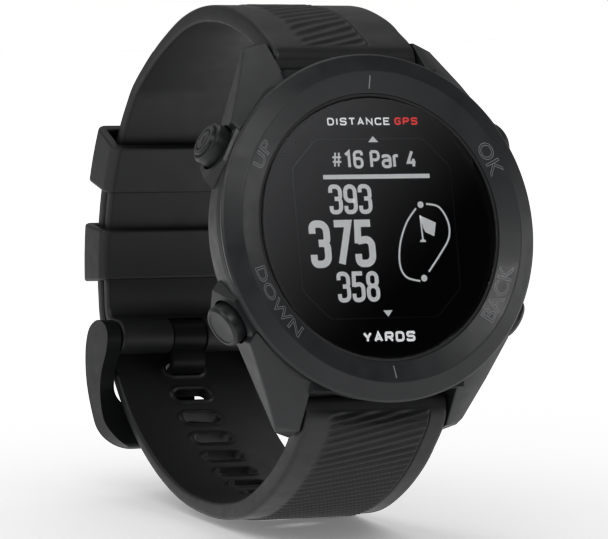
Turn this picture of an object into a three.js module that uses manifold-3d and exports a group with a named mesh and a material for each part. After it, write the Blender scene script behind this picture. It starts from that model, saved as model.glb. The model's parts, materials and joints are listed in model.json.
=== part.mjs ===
// Golf GPS watch, closed on its strap. Millimetres, +Z towards 12 o'clock, -Y out of the dial,
// +X towards 3 o'clock. The origin is the middle of the flat case back, so the case lies in
// negative Y and the strap loops through positive Y.

import * as THREE from 'three';
import { ConvexGeometry } from 'three/addons/geometries/ConvexGeometry.js';
import { mergeVertices } from 'three/addons/utils/BufferGeometryUtils.js';
import Module from 'manifold-3d';

const wasm = await Module();
wasm.setup();

// ---- driving dimensions ----------------------------------------------------------------

const GAP = 0.3;                    // running gap between neighbouring pieces

// Case, bezel and lens. Depths are measured forward from the case back.
const BEZEL_RADIUS = 21.85;
const BEZEL_EDGE_RADIUS = 21.6;      // where the outer slope meets the chamfered side
const RIDGE_RADIUS = 19.5;
const RIDGE_DEPTH = 11.5;
const BEZEL_EDGE_DEPTH = 10.6;
const BEZEL_BACK_DEPTH = 9.7;
const LENS_OPENING_RADIUS = 16.85;
const LENS_RADIUS = 16.55;
const LENS_FRONT_DEPTH = 10.5;
const LENS_BACK_DEPTH = 9.3;
const CASE_RADIUS = 21.45;
const CASE_FRONT_DEPTH = 9.4;
const CASE_BACK_DEPTH = 1.9;
const CAVITY_RADIUS = 17.4;
const LEDGE_RADIUS = 15.2;          // ledge that carries the lens gasket
const LEDGE_FRONT_DEPTH = 8.2;
const LEDGE_BACK_DEPTH = 7.4;
const COVER_RADIUS = 18.5;
const COVER_FLAT_RADIUS = 16.4;
const COVER_THICKNESS = 1.6;
const COVER_FLOOR_THICKNESS = 1.0;
const COVER_POCKET_RADIUS = 13.6;
const SCREW_CIRCLE_RADIUS = 15.6;
const SCREW_ANGLES = [60, 120, 240, 300];
const SCREW_HEAD_RADIUS = 1.1;
const SCREW_SHANK_RADIUS = 0.55;
const SCREW_END_DEPTH = 4.4;
const BOSS_RADIUS = 1.5;
const BOSS_DEPTHS = [5.0, 2.2];

// Lugs and spring bars.
const LUG_INNER_X = 10.3;
// Corners of one lug as [x, y, z]; the other three are mirror images.
const LUG_CORNERS = [
  [10.3, -9.3, 13], [10.3, -8.8, 18.9], [10.3, -4.2, 24.4], [10.3, -1.2, 24.8], [10.3, -0.6, 21],
  [10.3, -0.6, 13], [11.8, -1.4, 24.5], [13.4, -8.7, 17.8], [15.3, -6.1, 18.8], [18.2, -8.2, 13.8],
  [17.7, -9.3, 12.6], [15.9, -2.8, 14.8], [18.2, -4.0, 12.4], [16.0, -1.6, 11.4],
];
const STRAP_GAP_Z = 19.6;           // flat of the case between the lugs
const STRAP_GAP_DEPTH = 6.9;
const BAR_DEPTH = 3.3;              // spring-bar axis
const BAR_Z = 22.4;
const BAR_RADIUS = 0.9;
const BAR_BORE = 0.65;
const BAR_HALF_LENGTH = 9.7;
const BAR_TIP_RADIUS = 0.35;
const BAR_TIP_X = 11.3;
const LUG_HOLE_RADIUS = 0.65;
const LUG_HOLE_END_X = 11.6;
const BAR_SOLID_TO_X = 3.6;         // the bore for the sliding pin starts here
const PIN_START_X = 5.2;
const RELEASE_KNOB_X = 7.0;
const RELEASE_KNOB_RADIUS = 0.45;
const RELEASE_KNOB_REACH = 2.5;
const RELEASE_TRAVEL = 1.3;

// Buttons, measured outward from the dial axis.
const BUTTON_DEPTH = 5.4;
// Name, direction in degrees from 3 o'clock, and how far out the cap's face stands.
const BUTTONS = [['up', 150, 24.1], ['ok', 30, 24.1], ['down', 209, 23.6], ['back', -29, 23.6]];
const CAP_RADIUS = 2.7;
const CAP_EDGE = 0.2;
const CAP_BACK = 21.6;
const SHAFT_RADIUS = 0.8;
const SHAFT_END = 16.6;
const GUARD_RADIUS = 3.9;
const GUARD_FACE = 22.0;
const RECESS_RADIUS = 3.0;
const RECESS_FLOOR = 19.0;
const SHAFT_HOLE_RADIUS = 1.1;
const CLIP_SPAN = [16.75, 17.1];
const CLIP_RADIUS = 1.45;
const O_RING_SPAN = [19.3, 20.1];
const O_RING_RADIUS = 1.9;
const SWITCH_SPAN = [14.6, 15.7];
const SWITCH_WIDTH = 2.8;
const SWITCH_HEIGHT = 1.5;

// Parts inside the case, as [front depth, back depth].
const GASKET_DEPTHS = [9.0, 8.5];
const PANEL_RADIUS = 12.3;
const PANEL_DEPTHS = [9.1, 8.1];
const HOLDER_RADIUS = 14.6;
const HOLDER_DEPTHS = [8.9, 7.5];
const HOLDER_FLOOR_DEPTH = 7.9;
const BOARD_RADIUS = 15.6;
const BOARD_DEPTHS = [6.8, 6.3];
const FLEX_DEPTHS = [7.35, 7.15];
const SHIELD_DEPTHS = [6.0, 4.8];
const BATTERY_DEPTHS = [5.6, 2.2];
const PAD_DEPTHS = [1.9, 1.3];
const ANTENNA_DEPTHS = [7.1, 6.3];
const REAR_GASKET_DEPTHS = [2.6, 1.9 + GAP];
const CONTACT_Z = -11.6;
const CONTACT_PITCH = 1.7;
const CONTACT_RADIUS = 0.5;
const CONTACT_DEPTHS = [6.0, 0.5];
const PORT_SIZE = [7.6, 2.8];
const PORT_DEPTH = 0.6;

// Strap. The loop's line is given in polar form about the loop centre, from each lug inward,
// and it ends in an arc about the arc centre, where both layers and both keepers run.
const LOOP_CENTRE = [20.35, 0.2];
const ARC_CENTRE = [14.8, -1.8];
const INNER_ARC_RADIUS = 34.35;
const STRAP_WIDTH = 20;
const LAYER_THICKNESS = 1.55;
const OUTER_ARC_RADIUS = INNER_ARC_RADIUS + LAYER_THICKNESS + GAP;
const HEAD_THICKNESS = 4.4;
const HEAD_BORE = 1.2;
const UPPER_LINE = [[129, 33.1], [121, 32.85], [112, 32.5], [102, 32.0], [92, 31.3], [82, 30.4],
  [72, 29.85]];
const LOWER_LINE = [[-130, 33.5], [-122, 33.45], [-112, 33.15], [-102, 32.8], [-92, 32.0],
  [-82, 31.25], [-70, 30.65], [-58, 30.15], [-46, 29.9], [-34, 29.95], [-20.6, 30.15], [-14, 30.35]];
const UPPER_ARC = [54, -1];
const LOWER_ARC = [-1.5, 33.5];
const ROOT_THICKNESS = 2.6;
const STRAP_BEVEL = 0.35;

// Adjustment slots: the tongue is in slot 0, higher numbers run towards the lug.
const SLOT_PITCH = 8;
const TONGUE_SLOT_ANGLE = -20.6;
const SLOTS = [-4, -3, -2, -1, 0, 1, 2, 3, 4, 5, 6, 7, 8, 9];
const SLOT_LENGTH = 5.4;
const SLOT_WIDTH = 2.1;

// Keepers, in degrees about the arc centre.
const KEEPER_ANGLE = 11.7;
const LOWER_KEEPER_START = 6.9;
const UPPER_KEEPER_START = 27.6;
const KEEPER_WALL = 1.2;

// Buckle, hung on a bar through the end of the upper strap.
const BUCKLE_BAR = [46.8, -5.7];
const BUCKLE_BAR_RADIUS = 0.85;
const BUCKLE_BAR_HALF_LENGTH = 12.1;
const BAR_LOOP_THICKNESS = 4.5;
const BAR_LOOP_BORE = 1.15;
const TONGUE_GAP_WIDTH = 5.2;
const FRAME_HALF_WIDTH = 12.4;
const FRAME_WINDOW_HALF = 10.4;
const FRAME_EYE_RADIUS = 2.4;
const FRAME_OUTER = [[49.4, -3.9], [51.2, -6.0], [52.0, -9.0], [51.9, -12.0], [51.0, -15.4],
  [49.6, -18.6], [48.0, -20.4]];
const FRAME_INNER = [[46.4, -20.2], [46.5, -18.6], [47.9, -16.0], [48.2, -13.0], [47.4, -10.4],
  [45.0, -7.4]];
const CROSSBAR_TOP_Z = -17.9;
const CROSSBAR_OUTER_Y = 48.8;
const TONGUE_WIDTH = 4.4;
const TONGUE_THICKNESS = 1.0;
const TONGUE_RING_RADIUS = 1.95;
const TONGUE_TIP = [49.7, -19.4];

// ---- materials -------------------------------------------------------------------------

const material = (colour, roughness, metalness = 0) =>
  new THREE.MeshStandardMaterial({ color: colour, roughness, metalness });

const FINISH = {
  case: () => material(0x24262a, 0.5),
  bezel: () => material(0x1c1d20, 0.42),
  lens: () => material(0x101114, 0.06),
  panel: () => material(0x0c0d10, 0.2),
  rubber: () => material(0x151617, 0.6),
  strap: () => material(0x1a1b1d, 0.62),
  cap: () => material(0x1d1e21, 0.4),
  buckle: () => material(0x17181a, 0.35),
  steel: () => material(0xb4b6b8, 0.3, 1),
  gold: () => material(0xc9a558, 0.3, 1),
  board: () => material(0x14442c, 0.5),
  flex: () => material(0x8a5a1e, 0.5),
  foil: () => material(0xa9adb3, 0.4, 1),
  plastic: () => material(0x2e3034, 0.6),
};

// ---- shape helpers ---------------------------------------------------------------------

const radians = (degrees) => THREE.MathUtils.degToRad(degrees);
const group = new THREE.Group();
group.name = 'golf_gps_watch';

function add(name, geometry, finish) {
  const mesh = new THREE.Mesh(geometry, FINISH[finish]());
  mesh.name = name;
  group.add(mesh);
}

function toSolid(geometry) {
  const bare = geometry.clone();
  bare.deleteAttribute('normal');
  bare.deleteAttribute('uv');
  const welded = mergeVertices(bare, 1e-4);
  const kept = [];
  const index = welded.index.array;
  for (let i = 0; i < index.length; i += 3) {
    const [a, b, c] = [index[i], index[i + 1], index[i + 2]];
    if (a !== b && b !== c && c !== a) kept.push(a, b, c);
  }
  return new wasm.Manifold(new wasm.Mesh({
    numProp: 3,
    vertProperties: new Float32Array(welded.attributes.position.array),
    triVerts: new Uint32Array(kept),
  }));
}

function toGeometry(solid) {
  const mesh = solid.getMesh();
  const geometry = new THREE.BufferGeometry();
  geometry.setAttribute('position', new THREE.Float32BufferAttribute(mesh.vertProperties, 3));
  geometry.setIndex(Array.from(mesh.triVerts));
  geometry.computeVertexNormals();
  return geometry;
}

// Body of revolution about the Y axis; the profile is a list of [radius, y].
function turned(profile, segments = 24) {
  let area = 0;
  profile.forEach(([r, y], i) => {
    const [nextR, nextY] = profile[(i + 1) % profile.length];
    area += r * nextY - nextR * y;
  });
  const ordered = area > 0 ? profile : [...profile].reverse();
  const onAxis = ordered.some(([r]) => r === 0);
  let points = ordered;
  if (onAxis) {
    const start = ordered.findIndex(([r], i) => r === 0 && ordered[(i + 1) % ordered.length][0] > 0);
    points = [...ordered.slice(start), ...ordered.slice(0, start)];
  } else {
    points = [...ordered, ordered[0]];
  }
  return new THREE.LatheGeometry(points.map(([r, y]) => new THREE.Vector2(r, y)), segments);
}

const disc = (radius, [front, back], segments) =>
  turned([[0, -front], [radius, -front], [radius, -back], [0, -back]], segments);

const ring = (inner, outer, [front, back], segments) =>
  turned([[inner, -front], [outer, -front], [outer, -back], [inner, -back]], segments);

const shapeOf = (points) => new THREE.Shape(points.map(([x, y]) => new THREE.Vector2(x, y)));

// Side outline in [y, z], extruded symmetrically along X.
function sideBody(shape, width, bevel = 0) {
  const geometry = new THREE.ExtrudeGeometry(shape, {
    depth: width - 2 * bevel,
    bevelEnabled: bevel > 0,
    bevelThickness: bevel,
    bevelSize: bevel,
    bevelOffset: -bevel,
    bevelSegments: 1,
    curveSegments: 6,
  });
  geometry.translate(0, 0, bevel - width / 2);
  return geometry.applyMatrix4(new THREE.Matrix4().set(0, 0, 1, 0, 1, 0, 0, 0, 0, 1, 0, 0, 0, 0, 0, 1));
}

// Plan outline in [x, z], extruded between two depths.
function planBody(shape, [front, back], curveSegments = 6) {
  const geometry = new THREE.ExtrudeGeometry(shape, {
    depth: front - back, bevelEnabled: false, curveSegments,
  });
  return geometry.rotateX(Math.PI / 2).translate(0, -back, 0);
}

function block([x0, x1], [y0, y1], [z0, z1]) {
  const geometry = new THREE.BoxGeometry(x1 - x0, y1 - y0, z1 - z0);
  return geometry.translate((x0 + x1) / 2, (y0 + y1) / 2, (z0 + z1) / 2);
}

// Round rod along X about a point in [y, z].
function rod(radius, [x0, x1], [y, z], segments = 12) {
  const geometry = new THREE.CylinderGeometry(radius, radius, x1 - x0, segments);
  return geometry.rotateZ(-Math.PI / 2).translate((x0 + x1) / 2, y, z);
}

// Moves a body that was turned about Y so that its axis points outward at the button's angle.
function outward(geometry, angle) {
  const turn = new THREE.Matrix4().makeRotationY(-radians(angle));
  turn.multiply(new THREE.Matrix4().makeRotationZ(-Math.PI / 2));
  return geometry.applyMatrix4(turn).translate(0, -BUTTON_DEPTH, 0);
}

const onCircle = (radius, angle) => [radius * Math.cos(radians(angle)), radius * Math.sin(radians(angle))];

function cut(base, ...tools) {
  return tools.reduce((solid, tool) => solid.subtract(toSolid(tool)), base);
}

function join(base, ...pieces) {
  return pieces.reduce((solid, piece) => solid.add(toSolid(piece)), base);
}

// ---- case ------------------------------------------------------------------------------

function lug(signX, signZ) {
  return new ConvexGeometry(LUG_CORNERS.map(([x, y, z]) => new THREE.Vector3(signX * x, y, signZ * z)));
}

function caseBody() {
  const outside = turned([
    [0, -CASE_FRONT_DEPTH], [21.1, -CASE_FRONT_DEPTH], [CASE_RADIUS, -9.1], [CASE_RADIUS, -8.2],
    [20.9, -5.2], [20.1, -3.2], [19.2, -CASE_BACK_DEPTH], [0, -CASE_BACK_DEPTH],
  ], 40);
  const inside = turned([
    [0, -12], [LENS_RADIUS + 0.35, -12], [LENS_RADIUS + 0.35, -LEDGE_FRONT_DEPTH],
    [LEDGE_RADIUS, -LEDGE_FRONT_DEPTH], [LEDGE_RADIUS, -LEDGE_BACK_DEPTH],
    [CAVITY_RADIUS, -LEDGE_BACK_DEPTH], [CAVITY_RADIUS, -2.9], [CAVITY_RADIUS + 0.7, -2.9],
    [CAVITY_RADIUS + 0.7, -CASE_BACK_DEPTH], [COVER_RADIUS + GAP, -CASE_BACK_DEPTH],
    [COVER_RADIUS + GAP, 1], [0, 1],
  ], 40);
  let solid = toSolid(outside);
  for (const signX of [-1, 1]) {
    for (const signZ of [-1, 1]) solid = join(solid, lug(signX, signZ));
  }
  for (const [, angle] of BUTTONS) {
    const guard = turned([[0, 18], [GUARD_RADIUS, 18], [GUARD_RADIUS, 21.2],
      [GUARD_RADIUS - 0.4, GUARD_FACE], [0, GUARD_FACE]], 12);
    const aboveBack = block([-30, 30], [-CASE_FRONT_DEPTH, -1.9], [-30, 30]);
    solid = solid.add(toSolid(outward(guard, angle)).intersect(toSolid(aboveBack)));
  }
  solid = cut(solid, inside);
  for (const [, angle] of BUTTONS) {
    const recess = turned([
      [0, RECESS_FLOOR], [RECESS_RADIUS, RECESS_FLOOR], [RECESS_RADIUS, 26], [0, 26],
    ], 12);
    const hole = turned([[0, 15], [SHAFT_HOLE_RADIUS, 15], [SHAFT_HOLE_RADIUS, 20], [0, 20]], 8);
    solid = cut(solid, outward(recess, angle), outward(hole, angle));
  }
  for (const sign of [-1, 1]) {
    const [near, far] = sign > 0 ? [STRAP_GAP_Z, 30] : [-30, -STRAP_GAP_Z];
    solid = cut(
      solid,
      block([-LUG_INNER_X, LUG_INNER_X], [-STRAP_GAP_DEPTH, 2], [near, far]),
      rod(LUG_HOLE_RADIUS, [-LUG_HOLE_END_X, LUG_HOLE_END_X], [-BAR_DEPTH, sign * BAR_Z], 8),
    );
  }
  for (const angle of SCREW_ANGLES) {
    const [x, z] = onCircle(SCREW_CIRCLE_RADIUS + 0.8, angle);
    const [holeX, holeZ] = onCircle(SCREW_CIRCLE_RADIUS, angle);
    const boss = disc(BOSS_RADIUS, BOSS_DEPTHS, 8);
    const web = disc(BOSS_RADIUS, [BOSS_DEPTHS[0], BOSS_DEPTHS[1] + 0.7], 8).translate(x, 0, z);
    const bore = disc(SCREW_SHANK_RADIUS + GAP, [BOSS_DEPTHS[0] + 1, 0], 8).translate(holeX, 0, holeZ);
    solid = join(solid, boss.translate(holeX, 0, holeZ), web);
    solid = cut(solid, bore);
  }
  return toGeometry(solid);
}

add('case_body', caseBody(), 'case');

add('bezel_ring', turned([
  [LENS_OPENING_RADIUS, -BEZEL_BACK_DEPTH], [LENS_OPENING_RADIUS, -BEZEL_EDGE_DEPTH],
  [RIDGE_RADIUS, -RIDGE_DEPTH],
  [BEZEL_EDGE_RADIUS, -BEZEL_EDGE_DEPTH], [BEZEL_RADIUS, -BEZEL_EDGE_DEPTH + 0.3],
  [BEZEL_RADIUS - 0.15, -BEZEL_BACK_DEPTH],
], 56), 'bezel');

add('lens', turned([
  [0, -LENS_FRONT_DEPTH], [LENS_RADIUS - 0.3, -LENS_FRONT_DEPTH], [LENS_RADIUS, -LENS_FRONT_DEPTH + 0.25],
  [LENS_RADIUS, -LENS_BACK_DEPTH], [0, -LENS_BACK_DEPTH],
], 40), 'lens');

add('lens_gasket', ring(LEDGE_RADIUS + 0.2, LENS_RADIUS, GASKET_DEPTHS, 32), 'rubber');

function rearCover() {
  let solid = toSolid(turned([
    [0, -COVER_FLOOR_THICKNESS], [COVER_POCKET_RADIUS, -COVER_FLOOR_THICKNESS],
    [COVER_POCKET_RADIUS, -COVER_THICKNESS], [COVER_RADIUS, -COVER_THICKNESS],
    [COVER_RADIUS, -0.9], [COVER_FLAT_RADIUS + 0.9, -0.2], [COVER_FLAT_RADIUS, 0], [0, 0],
  ], 40));
  for (const angle of SCREW_ANGLES) {
    const [x, z] = onCircle(SCREW_CIRCLE_RADIUS, angle);
    solid = cut(
      solid,
      disc(SCREW_SHANK_RADIUS + GAP, [3, -1], 8).translate(x, 0, z),
      disc(SCREW_HEAD_RADIUS + GAP, [1.1, -1], 10).translate(x, 0, z),
    );
  }
  const [portWidth, portHeight] = PORT_SIZE;
  solid = cut(solid, block([-portWidth / 2, portWidth / 2], [-PORT_DEPTH, 1],
    [CONTACT_Z - portHeight / 2, CONTACT_Z + portHeight / 2]));
  for (let i = 0; i < 4; i += 1) {
    const x = (i - 1.5) * CONTACT_PITCH;
    solid = cut(solid, disc(CONTACT_RADIUS + GAP * 0.9, [3, -1], 8).translate(x, 0, CONTACT_Z));
  }
  return toGeometry(solid);
}

add('rear_cover', rearCover(), 'case');
add('rear_gasket', ring(CAVITY_RADIUS - 0.15, CAVITY_RADIUS + 0.4, REAR_GASKET_DEPTHS, 32), 'rubber');

SCREW_ANGLES.forEach((angle, i) => {
  const [x, z] = onCircle(SCREW_CIRCLE_RADIUS, angle);
  const screw = turned([
    [0, -SCREW_END_DEPTH], [SCREW_SHANK_RADIUS, -SCREW_END_DEPTH], [SCREW_SHANK_RADIUS, -0.8],
    [SCREW_HEAD_RADIUS, -0.8], [SCREW_HEAD_RADIUS, -0.15],
    [0.5, -0.15], [0.4, -0.5], [0, -0.5],
  ], 8);
  add(`case_screw_${i + 1}`, screw.translate(x, 0, z), 'steel');
});

for (let i = 0; i < 4; i += 1) {
  const contact = disc(CONTACT_RADIUS, CONTACT_DEPTHS, 8);
  add(`charging_contact_${i + 1}`, contact.translate((i - 1.5) * CONTACT_PITCH, 0, CONTACT_Z), 'gold');
}

// ---- display, board and battery --------------------------------------------------------

add('display_panel', disc(PANEL_RADIUS, PANEL_DEPTHS, 28), 'panel');

add('display_holder', turned([
  [0, -HOLDER_FLOOR_DEPTH], [PANEL_RADIUS + GAP, -HOLDER_FLOOR_DEPTH],
  [PANEL_RADIUS + GAP, -HOLDER_DEPTHS[0]], [HOLDER_RADIUS, -HOLDER_DEPTHS[0]],
  [HOLDER_RADIUS, -HOLDER_DEPTHS[1]], [0, -HOLDER_DEPTHS[1]],
], 28), 'plastic');

// Ribbon with its plug: a flat strip that steps back to the board at its end.
add('display_flex', sideBody(shapeOf([
  [-FLEX_DEPTHS[0], -3], [-FLEX_DEPTHS[0], -13], [-BOARD_DEPTHS[0] - 0.15, -13],
  [-BOARD_DEPTHS[0] - 0.15, -11.4], [-FLEX_DEPTHS[1], -11.4], [-FLEX_DEPTHS[1], -3],
]), 8), 'flex');

add('main_board', disc(BOARD_RADIUS, BOARD_DEPTHS, 28), 'board');

function roundedBlock(width, height, radius, depths, z) {
  const shape = new THREE.Shape();
  const [x, y] = [width / 2 - radius, height / 2 - radius];
  shape.absarc(x, y, radius, 0, Math.PI / 2);
  shape.absarc(-x, y, radius, Math.PI / 2, Math.PI);
  shape.absarc(-x, -y, radius, Math.PI, 1.5 * Math.PI);
  shape.absarc(x, -y, radius, 1.5 * Math.PI, 2 * Math.PI);
  return planBody(shape, depths, 3).translate(0, 0, z);
}

add('shield_can', roundedBlock(11, 5, 0.6, SHIELD_DEPTHS, -7.2), 'foil');
add('battery', roundedBlock(22, 14, 1.2, BATTERY_DEPTHS, 3.6), 'foil');
add('battery_pad', roundedBlock(18, 10, 0.8, PAD_DEPTHS, 3.6), 'rubber');

function ringSector(inner, outer, from, to) {
  const shape = new THREE.Shape();
  shape.absarc(0, 0, outer, radians(from), radians(to));
  shape.absarc(0, 0, inner, radians(to), radians(from), true);
  return shape;
}

add('gps_antenna', planBody(ringSector(15.9, 17.0, 42, 138), ANTENNA_DEPTHS, 12), 'gold');

// ---- buttons ---------------------------------------------------------------------------

for (const [name, angle, face] of BUTTONS) {
  const cap = turned([
    [0, SHAFT_END], [SHAFT_RADIUS, SHAFT_END], [SHAFT_RADIUS, CAP_BACK], [CAP_RADIUS, CAP_BACK],
    [CAP_RADIUS, face - CAP_EDGE], [CAP_RADIUS - CAP_EDGE, face], [0, face],
  ], 14);
  add(`${name}_button`, outward(cap, angle), 'cap');

  const seal = turned([
    [SHAFT_RADIUS + GAP, O_RING_SPAN[0]], [O_RING_RADIUS, O_RING_SPAN[0]],
    [O_RING_RADIUS, O_RING_SPAN[1]], [SHAFT_RADIUS + GAP, O_RING_SPAN[1]],
  ], 10);
  add(`${name}_button_seal`, outward(seal, angle), 'rubber');

  const clip = turned([
    [SHAFT_RADIUS + 0.2, CLIP_SPAN[0]], [CLIP_RADIUS, CLIP_SPAN[0]],
    [CLIP_RADIUS, CLIP_SPAN[1]], [SHAFT_RADIUS + 0.2, CLIP_SPAN[1]],
  ], 10);
  add(`${name}_button_clip`, outward(clip, angle), 'steel');

  const [near, far] = SWITCH_SPAN;
  const [halfHeight, halfWidth] = [SWITCH_HEIGHT / 2, SWITCH_WIDTH / 2];
  const body = block([-halfHeight, halfHeight], [near, far], [-halfWidth, halfWidth]);
  add(`${name}_switch`, outward(body, angle), 'plastic');
}

// ---- strap -----------------------------------------------------------------------------

const polar = ([cy, cz], radius, angle) =>
  new THREE.Vector2(cy + radius * Math.cos(radians(angle)), cz + radius * Math.sin(radians(angle)));

function arcPoints(radius, [from, to], step = 6) {
  const count = Math.ceil(Math.abs(to - from) / step);
  return Array.from({ length: count + 1 }, (_, i) =>
    polar(ARC_CENTRE, radius, from + ((to - from) * i) / count));
}

const upperBar = new THREE.Vector2(-BAR_DEPTH, BAR_Z);
const lowerBar = new THREE.Vector2(-BAR_DEPTH, -BAR_Z);
const buckleBar = new THREE.Vector2(...BUCKLE_BAR);

const upperLine = new THREE.SplineCurve([
  upperBar,
  ...UPPER_LINE.map(([angle, radius]) => polar(LOOP_CENTRE, radius, angle)),
  ...arcPoints(INNER_ARC_RADIUS, UPPER_ARC),
  buckleBar,
]);

const lowerLine = new THREE.SplineCurve([
  lowerBar,
  ...LOWER_LINE.map(([angle, radius]) => polar(LOOP_CENTRE, radius, angle)),
  ...arcPoints(OUTER_ARC_RADIUS, LOWER_ARC),
]);

// Outline of a band along a line; thicknessAt takes the distance from the line's two ends.
function bandOutline(line, thicknessAt, steps, roundEnd) {
  const length = line.getLength();
  const left = [];
  const right = [];
  for (let i = 0; i <= steps; i += 1) {
    const point = line.getPointAt(i / steps);
    const tangent = line.getTangentAt(i / steps);
    const half = thicknessAt((i / steps) * length, (1 - i / steps) * length) / 2;
    left.push([point.x - tangent.y * half, point.y + tangent.x * half]);
    right.push([point.x + tangent.y * half, point.y - tangent.x * half]);
  }
  const cap = (u, sign) => {
    const centre = line.getPointAt(u);
    const tangent = line.getTangentAt(u).multiplyScalar(sign);
    const half = thicknessAt(u * length, (1 - u) * length) / 2;
    return [-45, 0, 45].map((angle) => {
      const reach = half * Math.cos(radians(angle));
      const side = half * Math.sin(radians(angle)) * sign;
      return [
        centre.x + tangent.x * reach + tangent.y * side,
        centre.y + tangent.y * reach - tangent.x * side,
      ];
    });
  };
  const endCap = roundEnd ? cap(1, 1) : [];
  return shapeOf([...left, ...endCap, ...right.reverse(), ...cap(0, -1).reverse()]);
}

const eased = (t) => THREE.MathUtils.smoothstep(t, 0, 1);
const mix = THREE.MathUtils.lerp;

// Thick at the spring bar, tapering over the first half of the strap.
function bandThickness(fromLug, taperLength) {
  const band = mix(ROOT_THICKNESS, LAYER_THICKNESS, eased(fromLug / taperLength));
  return mix(HEAD_THICKNESS, band, eased(fromLug / 4.5));
}

function slot(index) {
  const shape = new THREE.Shape();
  const [reach, radius] = [(SLOT_LENGTH - SLOT_WIDTH) / 2, SLOT_WIDTH / 2];
  shape.absarc(reach, 0, radius, -Math.PI / 2, Math.PI / 2);
  shape.absarc(-reach, 0, radius, Math.PI / 2, 1.5 * Math.PI);
  const angle = TONGUE_SLOT_ANGLE - index * SLOT_PITCH;
  const geometry = planBody(shape, [36, 26], 2).rotateX(Math.PI);
  return geometry.rotateX(radians(angle)).translate(0, ...LOOP_CENTRE);
}

// Opening in the strap head that leaves room for the release knob.
function releaseSlot(sign) {
  const reach = RELEASE_KNOB_RADIUS + GAP;
  const from = RELEASE_KNOB_X - RELEASE_TRAVEL - reach;
  const body = block([from, RELEASE_KNOB_X + reach], [0, 5], [-reach, reach]);
  return body.rotateX(radians(-sign * 25)).translate(0, -BAR_DEPTH, sign * BAR_Z);
}

function upperStrap() {
  const outline = bandOutline(upperLine, (fromLug, fromEnd) =>
    mix(BAR_LOOP_THICKNESS, bandThickness(fromLug, 45), eased((fromEnd - 0.5) / 3.2)), 42, true);
  const half = TONGUE_GAP_WIDTH / 2;
  return toGeometry(cut(
    toSolid(sideBody(outline, STRAP_WIDTH, STRAP_BEVEL)),
    rod(HEAD_BORE, [-11, 11], [upperBar.x, upperBar.y], 14),
    releaseSlot(1),
    rod(BAR_LOOP_BORE, [-11, 11], BUCKLE_BAR, 14),
    block([-half, half], [buckleBar.x - 3.5, buckleBar.x + 3.5], [buckleBar.y - 3, buckleBar.y + 2.6]),
  ));
}

function lowerStrap() {
  const outline = bandOutline(lowerLine, (fromLug) => bandThickness(fromLug, 60), 52, false);
  return toGeometry(cut(
    toSolid(sideBody(outline, STRAP_WIDTH, STRAP_BEVEL)),
    rod(HEAD_BORE, [-11, 11], [lowerBar.x, lowerBar.y], 14),
    releaseSlot(-1),
    ...SLOTS.map(slot),
  ));
}

add('upper_strap', upperStrap(), 'strap');
add('lower_strap', lowerStrap(), 'strap');

// Spring bar: a tube with a fixed tip on the left and a sliding pin on the right.
function springBar(sign) {
  const centre = [-BAR_DEPTH, sign * BAR_Z];
  const tube = turned([
    [0, -BAR_TIP_X], [BAR_TIP_RADIUS, -BAR_TIP_X], [BAR_TIP_RADIUS, -BAR_HALF_LENGTH],
    [BAR_RADIUS, -BAR_HALF_LENGTH], [BAR_RADIUS, BAR_HALF_LENGTH], [BAR_BORE, BAR_HALF_LENGTH],
    [BAR_BORE, BAR_SOLID_TO_X], [0, BAR_SOLID_TO_X],
  ], 12).rotateZ(-Math.PI / 2).translate(0, ...centre);
  return toGeometry(cut(toSolid(tube), releaseSlot(sign)));
}

function releasePin(sign) {
  const centre = [-BAR_DEPTH, sign * BAR_Z];
  const knob = new THREE.CylinderGeometry(RELEASE_KNOB_RADIUS, RELEASE_KNOB_RADIUS, RELEASE_KNOB_REACH, 10)
    .translate(RELEASE_KNOB_X, RELEASE_KNOB_REACH / 2, 0)
    .rotateX(radians(-sign * 25)).translate(0, ...centre);
  return toGeometry(join(toSolid(rod(BAR_TIP_RADIUS, [PIN_START_X, BAR_TIP_X], centre, 10)), knob));
}

for (const [name, sign] of [['upper', 1], ['lower', -1]]) {
  add(`${name}_spring_bar`, springBar(sign), 'steel');
  add(`${name}_release_pin`, releasePin(sign), 'steel');
}

// ---- keepers ---------------------------------------------------------------------------

function arcBlock(inner, outer, from, to, width, bevel) {
  const shape = ringSector(inner, outer, from, to);
  const geometry = sideBody(shape, width, bevel);
  return geometry.translate(0, ...ARC_CENTRE);
}

function keeper(start) {
  const inner = INNER_ARC_RADIUS - LAYER_THICKNESS / 2 - GAP;
  const outer = OUTER_ARC_RADIUS + LAYER_THICKNESS / 2 + GAP;
  const end = start + KEEPER_ANGLE;
  const halfOpening = STRAP_WIDTH / 2 + GAP;
  const outside = arcBlock(inner - KEEPER_WALL, outer + KEEPER_WALL, start, end,
    2 * (halfOpening + KEEPER_WALL), 0.4);
  const opening = arcBlock(inner, outer, start - 3, end + 3, 2 * halfOpening, 0);
  return toGeometry(cut(toSolid(outside), opening));
}

add('lower_keeper', keeper(LOWER_KEEPER_START), 'strap');
add('upper_keeper', keeper(UPPER_KEEPER_START), 'strap');

// ---- buckle ----------------------------------------------------------------------------

function buckleFrame() {
  const arms = sideBody(shapeOf([...FRAME_OUTER, ...FRAME_INNER]), 2 * FRAME_HALF_WIDTH, 0.5);
  const eyes = rod(FRAME_EYE_RADIUS, [-FRAME_HALF_WIDTH, FRAME_HALF_WIDTH], BUCKLE_BAR, 18);
  const half = FRAME_WINDOW_HALF;
  return toGeometry(cut(
    join(toSolid(arms), eyes),
    block([-half, half], [40, 56], [CROSSBAR_TOP_Z, 2]),
    block([-half, half], [CROSSBAR_OUTER_Y, 56], [-24, 2]),
    rod(BUCKLE_BAR_RADIUS + GAP, [-FRAME_HALF_WIDTH - 1, FRAME_HALF_WIDTH + 1], BUCKLE_BAR, 14),
  ));
}

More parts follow.
